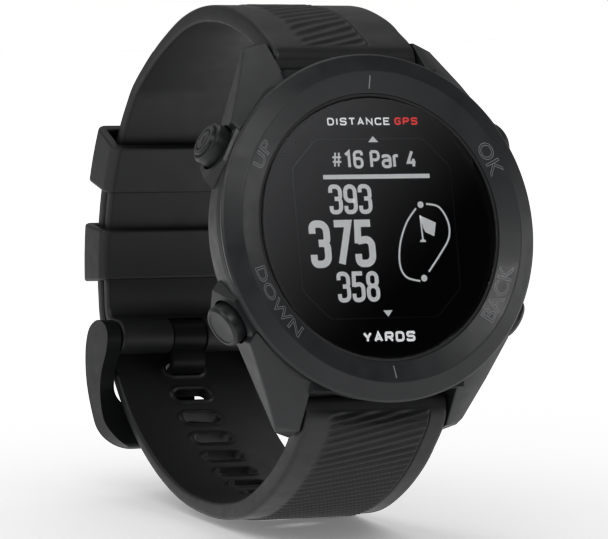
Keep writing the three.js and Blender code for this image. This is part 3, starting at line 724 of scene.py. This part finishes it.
def write(text, name, left, right, low, high, half, ink=LIGHT_INK, gap=0.28, radius=0.3):
    """Lettering that fills a box on the display; half is half a stroke's width."""
    widths = [GLYPH_WIDTHS.get(c, 1) for c in text]
    cell = (right - left - 2 * half * len(text)) / (sum(widths) + gap * (len(text) - 1))
    x, points, faces = left + half, [], []
    for character, width in zip(text, widths):
        for order, (kind, line) in enumerate(GLYPHS.get(character, [])):
            path = [(x + u * width * cell, low + half + v * (high - low - 2 * half)) for u, v in line]
            corner = min(radius * (high - low), width * cell * 0.5) if kind == "R" else 0
            lift = 0.004 * order
            weight = half * 0.6 if character == "#" else half
            made, sides = stroke(path, weight, corner, lambda u, v, t: (u, -(GRAPHIC_DEPTH + t + lift), v))
            faces += [[len(points) + k for k in side] for side in sides]
            points += made
        x += (width + gap) * cell + 2 * half
    graphic(solid(points, faces), name, ink)


def graphic(shape, name, ink):
    dress(shape, name, "display_panel", ink)


def flat(outline, name):
    graphic(face_prism(outline, GRAPHIC_DEPTH - 0.01, GRAPHIC_DEPTH + 0.01), name, LIGHT_INK)


def ribbon(points, width):
    """A flat line of a width through points."""
    p, _ = spline(points, 60)
    t = np.gradient(p, axis=0)
    n = np.stack([-t[:, 1], t[:, 0]], 1) / np.hypot(*t.T)[:, None] * width / 2
    return [*(p + n).tolist(), *(p - n)[::-1].tolist()]


def circle(x, z, radius, count=28):
    return [polar((x, z), radius, 360 * k / count) for k in range(count)]


def build_display():
    write("DISTANCE", "title_distance", -5.7, 3.1, 12.95, 13.9, 0.09, WHITE_INK, gap=0.4)
    write("GPS", "title_gps", 3.75, 7.0, 12.95, 13.9, 0.1, RED_INK, gap=0.4)
    flat([(-0.2, 10.8), (1.2, 10.8), (0.5, 11.57)], "arrow_up")
    flat([(-0.18, -10.3), (1.12, -10.3), (0.47, -11.1)], "arrow_down")
    write("#16 Par 4", "hole_and_par", -5.6, 6.4, 7.5, 9.8, 0.19, gap=0.2, radius=0.18)
    flat([(-6.95, 6.2), (8.05, 6.2), (8.05, 6.75), (-6.95, 6.75)], "divider")
    write("393", "distance_back", -6.4, -0.4, 1.8, 5.55, 0.27, gap=0.14, radius=0.18)
    write("375", "distance_middle", -9.6, -0.5, -4.85, 1.1, 0.46, gap=0.1, radius=0.17)
    write("358", "distance_front", -6.3, -0.4, -9.2, -5.35, 0.27, gap=0.14, radius=0.18)
    left = [(5.7, 2.4), (4.2, 0.6), (3.05, -2.0), (2.75, -4.6), (3.5, -6.2), (5.4, -6.75)]
    right = [(7.2, 2.95), (9.0, 2.5), (10.1, 0.6), (10.0, -1.4), (8.6, -3.4), (6.75, -5.6)]
    for name, line in (("left", left), ("right", right)):
        flat(ribbon(line, 0.24), f"green_outline_{name}")
    flat(circle(6.4, 2.85, 0.42), "green_back")
    flat(circle(6.0, -6.4, 0.42), "green_front")
    flat([(6.15, 1.5), (8.35, 0.55), (7.95, -1.15), (6.75, -0.6), (6.5, -0.1)], "flag_cloth")
    flat([(6.1, 1.5), (6.3, 1.5), (6.42, -1.6), (6.2, -1.6)], "flag_pole")
    flat([(6.0, -1.55), (6.6, -1.55), (6.75, -1.85), (5.85, -1.85)], "flag_foot")
    write("YARDS", "unit_yards", -3.3, 4.0, -14.25, -12.95, 0.15, WHITE_INK, gap=0.3, radius=0.25)


# ---- buttons


def build_buttons():
    """UP and OK have a ringed face with a dash in it, DOWN and BACK a plain dished one."""
    shaft_end, shaft_r, cap_r, back = 16.6, 0.8, 2.7, 21.6
    for name, angle in BUTTONS.items():
        place = button_place(angle)
        ringed = name in ("up", "ok")
        face = 24.1 if ringed else 23.6
        stem = [(0, shaft_end), (shaft_r, shaft_end), (shaft_r, back), (cap_r, back)]
        if ringed:
            steps = [(cap_r, 0.75), (2.5, 0.42), (2.28, 0.42), (2.25, 0.6), (2.1, 0.6), (2.06, 0.1),
                     (1.95, 0), (1.5, 0), (1.46, 0.22), (1.3, 0.22), (1.26, 0), (0, 0)]
            radii = [0, 0.1, 0.1, 0.1, 0.14, 0.1, 0.05, 0.03, 0.03, 0.06, 0.06, 0.03, 0.03, 0.03, 0.03, 0]
        else:
            steps = [(cap_r, 0.35), (cap_r - 0.3, 0), (2.15, 0), (2.0, 0.14), (0, 0.14)]
            radii = [0, 0.1, 0.1, 0.1, 0.14, 0.14, 0.08, 0.08, 0]
        profile = stem + [(radius, face - drop) for radius, drop in steps]
        cap = revolve(rounded(profile, radii, 3), place, 96)
        if ringed:
            dash = rounded(oblong(0.55, -0.13, 0.13), 0.1)
            cut(cap, prism(dash, face - 0.12, face + 1, place))
        stand_in(cap, f"{name}_cap", f"{name}_button", 28)


# ---- straps

LOOP_CENTRE = (20.35, 0.2)
ARC_CENTRE = (14.8, -1.8)
INNER_ARC_R = 34.35
LAYER = 1.55
OUTER_ARC_R = INNER_ARC_R + LAYER + 0.3
HEAD = 4.4
ROOT = 2.6
BAR_LOOP = 4.5
BAR_HOLE_R = 1.2
PIN_HOLE_R = 1.15
BEYOND = 11                         # past the strap's edges
UPPER_LINE = [(129, 33.1), (121, 32.85), (112, 32.5), (102, 32.0), (92, 31.3), (82, 30.4), (72, 29.85)]
LOWER_LINE = [(-130, 33.5), (-122, 33.45), (-112, 33.15), (-102, 32.8), (-92, 32.0), (-82, 31.25),
              (-70, 30.65), (-58, 30.15), (-46, 29.9), (-34, 29.95), (-20.6, 30.15), (-14, 30.35)]
SLOT_PITCH = 8
SLOT_FIRST = -20.6
SLOT_INDICES = range(-4, 10)
SLOT_LENGTH = 5.2
SLOT_WIDTH = 1.75
TAIL_SLOT_WIDTH = 1.95
SLOT_INNER_R = 29.3
SLOT_DRAFT = 0.05                   # share of its width that a slot loses for each millimetre outward


def arc(radius, first, last, step=6):
    count = math.ceil(abs(last - first) / step)
    return [polar(ARC_CENTRE, radius, first + (last - first) * i / count) for i in range(count + 1)]


def band_thickness(run, taper):
    band = ROOT + (LAYER - ROOT) * ease(0, taper, run)
    return HEAD + (band - HEAD) * ease(0, 4.5, run)


def band(line, sign, thickness, outer_relief, inner_relief, columns, round_end, stations):
    """A strap as a closed tube: stations run along the line, and each carries a rounded oblong section.
    sign turns the line's left side outward; the reliefs take (distance along, distance across, y, z)."""
    centres, run = spline(line, stations)
    tangents = np.gradient(centres, axis=0)
    tangents /= np.hypot(*tangents.T)[:, None]
    normals = sign * np.stack([-tangents[:, 1], tangents[:, 0]], 1)
    halves = np.array([thickness(s, run[-1] - s) for s in run]) / 2
    stations = list(zip(centres, normals, halves, run))

    def cap(index, way):
        centre, normal, half, at = stations[index]
        turned = np.radians(np.linspace(86, 4, 24))
        return [(centre + way * tangents[index] * half * math.sin(a), normal, half * math.cos(a),
                 at + way * half * math.sin(a)) for a in turned]

    stations = cap(0, -1) + stations
    if round_end:
        stations += cap(-1, 1)[::-1]
    else:
        stations += [(centres[-1] + tangents[-1] * reach, normals[-1], halves[-1] - inset, run[-1] + reach)
                     for reach, inset in ((0.25, 0.06), (0.38, 0.2), (0.42, 0.4))]
    sections = []
    for centre, normal, half, at in stations:
        loop = []
        for side, relief, edge in ((1, outer_relief, 0.55), (-1, inner_relief, 0.4)):
            edge = min(edge, half * 0.95)
            flat_part = STRAP_HALF - edge
            across = columns * (flat_part / columns[-1]) * side
            height = half + relief(at, across, centre)
            row = [(x, side * h) for x, h in zip(across, height)]
            turned = [math.radians(a) for a in (22, 45, 68)]
            corner = [(side * (flat_part + edge * math.sin(a)), side * (half - edge + edge * math.cos(a)))
                      for a in turned]
            waist = [(side * STRAP_HALF, side * (half - edge))]
            before = [(-x, h) for x, h in reversed(corner + waist)]
            loop += before + row + corner + waist
        sections.append([(x, *(centre + normal * h)) for x, h in loop])
    n = len(sections[0])
    points = [p for section in sections for p in section]
    faces = [(n * i + k, n * i + (k + 1) % n, n * (i + 1) + (k + 1) % n, n * (i + 1) + k)
             for i in range(len(sections) - 1) for k in range(n)]
    faces += [range(n), range(n * (len(sections) - 1), n * len(sections))]
    return solid(points, faces)


def ribs(at, across, pitch, slope, left, groove, first, last, height):
    """Fine diagonal ribs between a soft left edge and a thin groove on the right."""
    phase = ((at - slope * across) / pitch) % 1
    ridge = ease(0, 0.55, phase) - ease(0.55, 1, phase) - 0.5
    inside = ease(left - 0.6, left + 0.6, across) * (1 - ease(groove - 0.35, groove - 0.15, across))
    along = ease(first, first + 0.7, at) * (1 - ease(last - 12, last, at))
    line = np.exp(-(((across - groove) / 0.09) ** 2))
    return along * (height * ridge * inside - 0.2 * line)


def strap_columns(groove):
    fine = [groove - 0.2, groove - 0.1, groove, groove + 0.1, groove + 0.2]
    return np.array(sorted([*np.linspace(-9.45, 9.45, 82), *fine]))


def slot_place(index, taper):
    """The slot's own axes: u across the strap, v along it, t outward from the loop centre."""
    a = math.radians(SLOT_FIRST - index * SLOT_PITCH)

    def place(u, v, t):
        v *= 1 - taper * (t - SLOT_INNER_R)
        y, z = t * math.cos(a) - v * math.sin(a), t * math.sin(a) + v * math.cos(a)
        return (u, LOOP_CENTRE[0] + y, LOOP_CENTRE[1] + z)

    return place


def strap_slot(index):
    """A slot right through the strap. Those from the tongue to the tail are wider and straight."""
    width, taper = (SLOT_WIDTH, SLOT_DRAFT) if index > 0 else (TAIL_SLOT_WIDTH, 0)
    reach = (SLOT_LENGTH - width) / 2
    right = [polar((reach, 0), width / 2, -90 + 15 * k) for k in range(13)]
    return prism(right + [(-x, -y) for x, y in right], 26, 36, slot_place(index, taper))


def slot_rims(at, across, centre):
    """Low rounded rims round the slots on the strap's inner face."""
    y, z = centre[0] - LOOP_CENTRE[0], centre[1] - LOOP_CENTRE[1]
    radius, angle = math.hypot(y, z), math.degrees(math.atan2(z, y))
    turn = (SLOT_FIRST - angle + 180) % 360 - 180
    index = min(max(round(turn / SLOT_PITCH), SLOT_INDICES[0]), SLOT_INDICES[-1])
    along = math.radians(turn - index * SLOT_PITCH) * radius
    if abs(along) > 4:
        return np.zeros_like(across)
    reach = (SLOT_LENGTH - SLOT_WIDTH) / 2
    away = np.hypot(np.maximum(np.abs(across) - reach, 0), along) - SLOT_WIDTH / 2
    return 0.28 * np.exp(-(((away - 0.32) / 0.24) ** 2))


def release_slot(sign):
    """The opening in a strap head that leaves room for the release knob."""
    angle = math.radians(-sign * 25)

    def place(u, v, t):
        y, z = t * math.cos(angle) - v * math.sin(angle), t * math.sin(angle) + v * math.cos(angle)
        return (u, y - BAR_DEPTH, z + sign * BAR_Z)

    return prism(rounded([(4.95, -0.75), (7.75, -0.75), (7.75, 0.75), (4.95, 0.75)], 0.5), 0, 5, place)


def head_block(sign):
    """The squared shoulder of a strap head, which closes the gap to the case."""
    outline = [(-5.46, sign * 22.4), (-5.46, sign * 20.14), (-1.3, sign * 20.14), (-1.3, sign * 22.4)]
    return side_prism(rounded(outline, [0, 1.0, 0.8, 0], 6), STRAP_HALF - 0.15)


def no_relief(at, across, centre):
    return np.zeros_like(across)


def build_straps():
    upper = [(-BAR_DEPTH, BAR_Z), *(polar(LOOP_CENTRE, r, a) for a, r in UPPER_LINE),
             *arc(INNER_ARC_R, 54, -1), BUCKLE_BAR]
    lower = [(-BAR_DEPTH, -BAR_Z), *(polar(LOOP_CENTRE, r, a) for a, r in LOWER_LINE),
             *arc(OUTER_ARC_R, -1.5, 33.5)]

    def upper_thickness(run, left):
        body = band_thickness(run, 45)
        return BAR_LOOP + (body - BAR_LOOP) * ease(0.5, 3.7, left)

    def upper_relief(at, x, centre):
        return ribs(at, x, 1.5, 0.36, -5.3, 3.8, 0.2, 46, 0.26)

    def lower_relief(at, x, centre):
        return ribs(at, x, 1.12, -0.25, -6.3, 7.5, -1.4, 62, 0.46)

    strap = band(upper, 1, upper_thickness, upper_relief, no_relief, strap_columns(3.8), True, 380)
    join(strap, head_block(1))
    y, z = BUCKLE_BAR               # where a notch leaves room for the tongue
    cut(strap, cylinder(BAR_HOLE_R, -BEYOND, BEYOND, cross_place(-BAR_DEPTH, BAR_Z)), release_slot(1),
        cylinder(PIN_HOLE_R, -BEYOND, BEYOND, cross_place(y, z)),
        block((-2.6, 2.6), (y - 3.5, y + 3.5), (z - 3, z + 2.3)))
    stand_in(strap, "strap_upper", "upper_strap", 40)

    strap = band(lower, -1, lambda run, left: band_thickness(run, 60), lower_relief, slot_rims,
                 strap_columns(7.5), False, 760)
    join(strap, head_block(-1))
    cut(strap, cylinder(BAR_HOLE_R, -BEYOND, BEYOND, cross_place(-BAR_DEPTH, -BAR_Z)), release_slot(-1),
        merged([strap_slot(i) for i in SLOT_INDICES]))
    stand_in(strap, "strap_lower", "lower_strap", 40)


# ---- keepers

KEEPER_SWEEP = 11.7
KEEPER_STARTS = {"lower": 6.9, "upper": 27.6}
KEEPER_WALL = 1.2


def keeper(start):
    low = INNER_ARC_R - LAYER / 2 - 0.3
    high = OUTER_ARC_R + LAYER / 2 + 0.3
    outer = rounded(oblong(KEEPER_HALF, low - KEEPER_WALL, high + KEEPER_WALL), 1.3, 6)
    inner = rounded(oblong(KEEPER_HALF - KEEPER_WALL, low, high), 0.35, 6)
    n, steps = len(outer), 16
    points, faces = [], []
    for i in range(steps + 1):
        points += [(x, *polar(ARC_CENTRE, radius, start + KEEPER_SWEEP * i / steps))
                   for x, radius in outer + inner]
    walls = [(2 * n * i + first, 2 * n) for i in range(steps) for first in (0, n)]
    for base, on in walls + [(0, n), (2 * n * steps, n)]:
        for k in range(n):
            a, b = base + k, base + (k + 1) % n
            faces.append((a, b, b + on, a + on))
    return soften(solid(points, faces), 0.32, 4, 50)


def build_keepers():
    for name, start in KEEPER_STARTS.items():
        stand_in(keeper(start), f"keeper_{name}", f"{name}_keeper", 40)


# ---- buckle

WINDOW = 10.4
CROSSBAR_TOP = -15.0
CROSSBAR_OUTER = 48.8
FRAME_OUTER = [(44.45, -5.7), (45.0, -4.2), (46.6, -3.35), (48.3, -3.35), (50.1, -4.15), (51.4, -6.2),
               (52.0, -9.0), (51.9, -12.0), (51.0, -15.4), (49.6, -18.6), (48.0, -20.4)]
FRAME_INNER = [(46.4, -20.2), (46.5, -18.6), (47.9, -16.0), (48.2, -13.0), (47.4, -10.4), (45.3, -7.7)]
TONGUE_LINE_END = [(50.5, -13.4), (50.3, -16.4), (49.7, -19.4)]


def build_buckle():
    body = side_prism(smooth_closed(FRAME_OUTER + FRAME_INNER), FRAME_HALF)
    front = prism(rounded(oblong(FRAME_HALF, -20.6, 0), [4.2, 4.2, 0, 0], 12), 40, 56, depth_place)
    combine(body, [front], "INTERSECT")
    window = rounded(oblong(WINDOW, CROSSBAR_TOP, 2), [3, 3, 0, 0], 10)
    cut(body, prism(window, 40, 56, depth_place),
        block((-WINDOW, WINDOW), (CROSSBAR_OUTER, 56), (-24, CROSSBAR_TOP + 0.5)),
        cylinder(PIN_HOLE_R, -BUCKLE_PIN_HALF - 0.05, BUCKLE_PIN_HALF + 0.05, cross_place(*BUCKLE_BAR)))
    soften(body, 0.5, 4, 40)
    stand_in(body, "buckle_bow", "buckle_frame", 35)

    half = BUCKLE_PIN_HALF
    pin = rounded([(0, -half), (0.85, -half), (0.85, half), (0, half)], [0, 0.15, 0.15, 0])
    stand_in(revolve(pin, cross_place(*BUCKLE_BAR), SMALL_SEGMENTS), "buckle_pin", "buckle_bar")

    angle = math.radians(SLOT_FIRST)
    through = Vector((math.cos(angle), math.sin(angle)))
    centre = Vector(polar(LOOP_CENTRE, 30.15, SLOT_FIRST)) - 0.25 * Vector((-through.y, through.x))
    line = [(BUCKLE_BAR[0] - 0.2, BUCKLE_BAR[1] - 1.6), (BUCKLE_BAR[0] - 0.55, BUCKLE_BAR[1] - 3.3)]
    line += [tuple(centre + through * d) for d in (-1.7, 0, 1.5)] + TONGUE_LINE_END
    shank = side_prism(tapered(line, 1.0), TONGUE_HALF)
    eye = revolve([(0, -TONGUE_HALF), (2.12, -TONGUE_HALF), (2.12, TONGUE_HALF), (0, TONGUE_HALF)],
                  cross_place(*BUCKLE_BAR), 64)
    join(shank, eye)
    cut(shank, cylinder(PIN_HOLE_R, -5, 5, cross_place(*BUCKLE_BAR)))
    soften(shank, 0.22, 3, 40)
    stand_in(shank, "buckle_prong", "buckle_tongue", 35)


def tapered(points, thickness):
    """The outline of a strip along a line, with a round end."""
    p, _ = spline(points, 40)
    t = np.gradient(p, axis=0)
    t /= np.hypot(*t.T)[:, None]
    n = np.stack([-t[:, 1], t[:, 0]], 1) * thickness / 2
    end = [(p[-1] + t[-1] * thickness / 2 * math.cos(a) - n[-1] * math.sin(a)).tolist()
           for a in (-math.pi / 3, -math.pi / 6, 0, math.pi / 6, math.pi / 3)]
    return [*(p + n).tolist(), *end, *(p - n)[::-1].tolist()]


# ---- back

PORT_HALF = (3.8, 1.4)
CONTACT_Z = middle("charging_contact_1")[1]
CONTACT_X = [(i - 1.5) * 1.7 for i in range(4)]
SCREW_HEAD_R = 1.1


def build_back():
    profile = rounded([
        (0, 1.0), (13.6, 1.0), (13.6, 1.6), (COVER_R, 1.6), (COVER_R, 0.9), (17.3, 0.2), (16.4, 0), (14.3, 0),
        (14.2, 0.12), (14.0, 0.12), (13.9, 0), (0, 0),
    ], [0, 0, 0, 0, 0.15, 0.5, 0.5, 0.03, 0.03, 0.03, 0.03, 0])
    cover = revolve(profile)
    port = rounded(oblong(PORT_HALF[0], -PORT_HALF[1], PORT_HALF[1]), 0.7, 6)
    cut(cover, face_prism([(x, z + CONTACT_Z) for x, z in port], -1, 0.6))
    for x in CONTACT_X:
        cut(cover, face_prism(circle(x, CONTACT_Z, 0.77), -1, 3))
    for angle in SCREW_ANGLES:
        x, z = polar((0, 0), SCREW_CIRCLE, angle)
        cut(cover, face_prism(circle(x, z, SCREW_HEAD_R + 0.3, 40), -1, 1.1),
            face_prism(circle(x, z, 0.85, 40), -1, 3))
    soften(cover, 0.06, 2, 50)
    stand_in(cover, "back_cover", "rear_cover")

    for i, angle in enumerate(SCREW_ANGLES):
        x, z = polar((0, 0), SCREW_CIRCLE, angle)
        shape = rounded([(0, 4.4), (0.3, 4.4), (0.55, 4.0), (0.55, 0.8), (SCREW_HEAD_R, 0.8),
                         (SCREW_HEAD_R, 0.15), (0, 0.15)], [0, 0.05, 0.1, 0.05, 0.05, 0.2, 0])
        screw = revolve(shape, lambda u, v, t, x=x, z=z: (x + u, -t, z + v), SMALL_SEGMENTS)
        star = [polar((x, z), 0.62 if k % 2 else 0.42, angle + 30 * k) for k in range(12)]
        cut(screw, face_prism(rounded(star, 0.08), 0, 0.5))
        stand_in(screw, f"back_screw_{i + 1}", f"case_screw_{i + 1}")

        x = CONTACT_X[i]
        pin = rounded([(0, 6.0), (0.5, 6.0), (0.5, 0.5), (0, 0.5)], [0, 0.05, 0.15, 0])
        contact = revolve(pin, lambda u, v, t, x=x: (x + u, -t, CONTACT_Z + v), 32)
        stand_in(contact, f"contact_pin_{i + 1}", f"charging_contact_{i + 1}")


# ---- camera, floor and light

AZIMUTH, ELEVATION, ROLL = -27.65, -7.02, -4.93
AIM = Vector((2.4, 15.3, -1.5)) * MM
DISTANCE = 640 * MM
LENS_LENGTH = 294.8
FLOOR_TILT = (-0.045, -0.269, 0.962)


def build_camera():
    camera = bpy.data.objects.new("camera", bpy.data.cameras.new("camera"))
    bpy.context.scene.collection.objects.link(camera)
    a, e = math.radians(AZIMUTH), math.radians(ELEVATION)
    back = Vector((math.sin(a) * math.cos(e), -math.cos(a) * math.cos(e), math.sin(e)))
    level = Vector((math.cos(a), math.sin(a), 0))
    turned = Matrix.Rotation(math.radians(ROLL), 3, back) @ level
    rotation = Matrix((turned, back.cross(turned), back)).transposed()
    camera.matrix_world = Matrix.Translation(AIM + back * DISTANCE) @ rotation.to_4x4()
    camera.data.lens, camera.data.sensor_width = LENS_LENGTH, 36
    camera.data.clip_start, camera.data.clip_end = 0.05, 20
    bpy.context.scene.camera = camera


FLOOR_MIDDLE = Vector((0, 0.02, 0))


def build_floor():
    """A pale sheet, tilted to meet the strap, that shows only the watch's shadow."""
    up = Vector(FLOOR_TILT).normalized()
    lowest = min(v.co.dot(up) for name in ("lower_strap", "buckle_frame")
                 for v in frame["nodes"][name].data.vertices)
    bpy.ops.mesh.primitive_grid_add(x_subdivisions=8, y_subdivisions=8, size=1.2)
    floor = bpy.context.active_object
    floor.name = "floor"
    floor.rotation_mode = "QUATERNION"
    floor.rotation_quaternion = up.to_track_quat("Z", "Y")
    floor.location = FLOOR_MIDDLE + up * (lowest - up.dot(FLOOR_MIDDLE) - 0.1 * MM)
    finish = Finish("floor_paper", (0.86, 0.86, 0.86), 0.9)
    finish.vary_colour(finish.noise(0.02, 2), 0.99, 1.0)
    floor.data.materials.append(finish.material)
    floor.is_shadow_catcher = True


def area(name, place, size, watts, only=None):
    """A soft box that looks at the middle of the watch; place and size are in millimetres. It lights
    everything but the floor, or only the floor."""
    light = bpy.data.lights.new(name, "AREA")
    light.shape, light.size, light.size_y = "RECTANGLE", size[0] * MM, size[1] * MM
    light.energy = watts
    obj = bpy.data.objects.new(name, light)
    bpy.context.scene.collection.objects.link(obj)
    obj.location = Vector(place) * MM
    aim = Vector((0, 10, 0)) * MM - obj.location
    obj.rotation_mode = "QUATERNION"
    obj.rotation_quaternion = aim.to_track_quat("-Z", "Y")
    receivers = bpy.data.collections.new(f"{name}_receivers")
    receivers.objects.link(bpy.data.objects["floor"])
    receivers.collection_objects[0].light_linking.link_state = "INCLUDE" if only else "EXCLUDE"
    obj.light_linking.receiver_collection = receivers
    obj.visible_camera = obj.visible_transmission = False
    return obj


CARD_SLOPE = (0.7, 0.7)


def build_card():
    """A white card that the lens mirrors: bright towards the upper left, black towards the lower right."""
    mirrored = Vector((0.46, -0.879, 0.122)).normalized()
    bpy.ops.mesh.primitive_grid_add(x_subdivisions=4, y_subdivisions=4, size=90 * MM)
    card = bpy.context.active_object
    card.name = "reflection_card"
    card.location = mirrored * 200 * MM
    card.rotation_mode = "QUATERNION"
    card.rotation_quaternion = (-mirrored).to_track_quat("Z", "Y")
    card.visible_camera = card.visible_shadow = card.visible_diffuse = False
    finish = Finish("card_light", (0, 0, 0), 1.0, Specular_IOR_Level=0.0)
    finish.set("Emission Strength", 1.0)
    slope = finish.node("VectorMath")
    slope.operation = "DOT_PRODUCT"
    slope.inputs[1].default_value = (CARD_SLOPE[0] / MM / 60, CARD_SLOPE[1] / MM / 60, 0)
    shift = finish.node("Math")
    shift.operation = "ADD"
    shift.inputs[1].default_value = 0.5
    ramp = finish.node("ValToRGB")
    finish.link(finish.coordinates.outputs["Object"], slope, 0)
    finish.link(slope.outputs["Value"], shift, 0)
    finish.link(shift.outputs["Value"], ramp, "Fac")
    finish.link(ramp.outputs["Color"], finish.shader, "Emission Color")
    dark, bright = ramp.color_ramp.elements
    dark.color, dark.position = (0.0, 0.0, 0.0, 1), 0.35
    bright.color, bright.position = (0.6, 0.6, 0.62, 1), 1.0
    ramp.color_ramp.interpolation = "EASE"
    card.data.materials.append(finish.material)


def build_light():
    """The camera sees white; the watch is lit by a sky that brightens behind it, and by soft boxes."""
    world = bpy.data.worlds.new("studio")
    bpy.context.scene.world = world
    world.use_nodes = True
    tree = world.node_tree
    background = tree.nodes["Background"]
    background.inputs["Color"].default_value = (1, 1, 1, 1)
    facing = add_node(tree, "TexCoord")
    split = add_node(tree, "SeparateXYZ")
    level = add_node(tree, "MapRange", From_Min=-0.5, From_Max=0.8, To_Min=0.05, To_Max=0.32)
    seen = add_node(tree, "Background", Color=(1, 1, 1, 1))
    path = add_node(tree, "LightPath")
    mix = add_node(tree, "MixShader")
    for output, socket in (
        (facing.outputs["Generated"], split.inputs[0]), (split.outputs["Y"], level.inputs["Value"]),
        (level.outputs["Result"], background.inputs["Strength"]),
        (path.outputs["Is Camera Ray"], mix.inputs[0]), (background.outputs[0], mix.inputs[1]),
        (seen.outputs[0], mix.inputs[2]), (mix.outputs[0], tree.nodes["World Output"].inputs["Surface"]),
    ):
        tree.links.new(output, socket)
    area("left_box", (-400, -120, 220), (200, 420), 0.55)
    area("right_box", (430, -190, -110), (180, 420), 0.62)
    area("front_box", (-30, -430, 200), (160, 160), 0.55)
    area("top_box", (0, 20, 480), (460, 360), 0.38)
    area("floor_wash", (0, 0, 520), (1500, 1500), 1.2, "floor")
    lift = area("floor_lift", (0, 0, 520), (1500, 1500), 1.7, "floor")
    lift.data.use_shadow = False
    bounce = area("floor_bounce", (0, 0, -33.6), (700, 700), 0.9)
    up = Vector(FLOOR_TILT).normalized()
    bounce.rotation_quaternion = (-up).to_track_quat("Z", "Y")
    bounce.location = bpy.data.objects["floor"].location + up * 0.4 * MM
    bpy.context.scene.view_settings.view_transform = "Standard"


# ---- everything

for build in (cover_cad_nodes, build_case, build_bezel, build_bezel_marks, build_lens, build_display,
              build_buttons, build_straps, build_keepers, build_buckle, build_back, build_camera,
              build_floor, build_light, build_card):
    build()

bpy.context.view_layer.update()
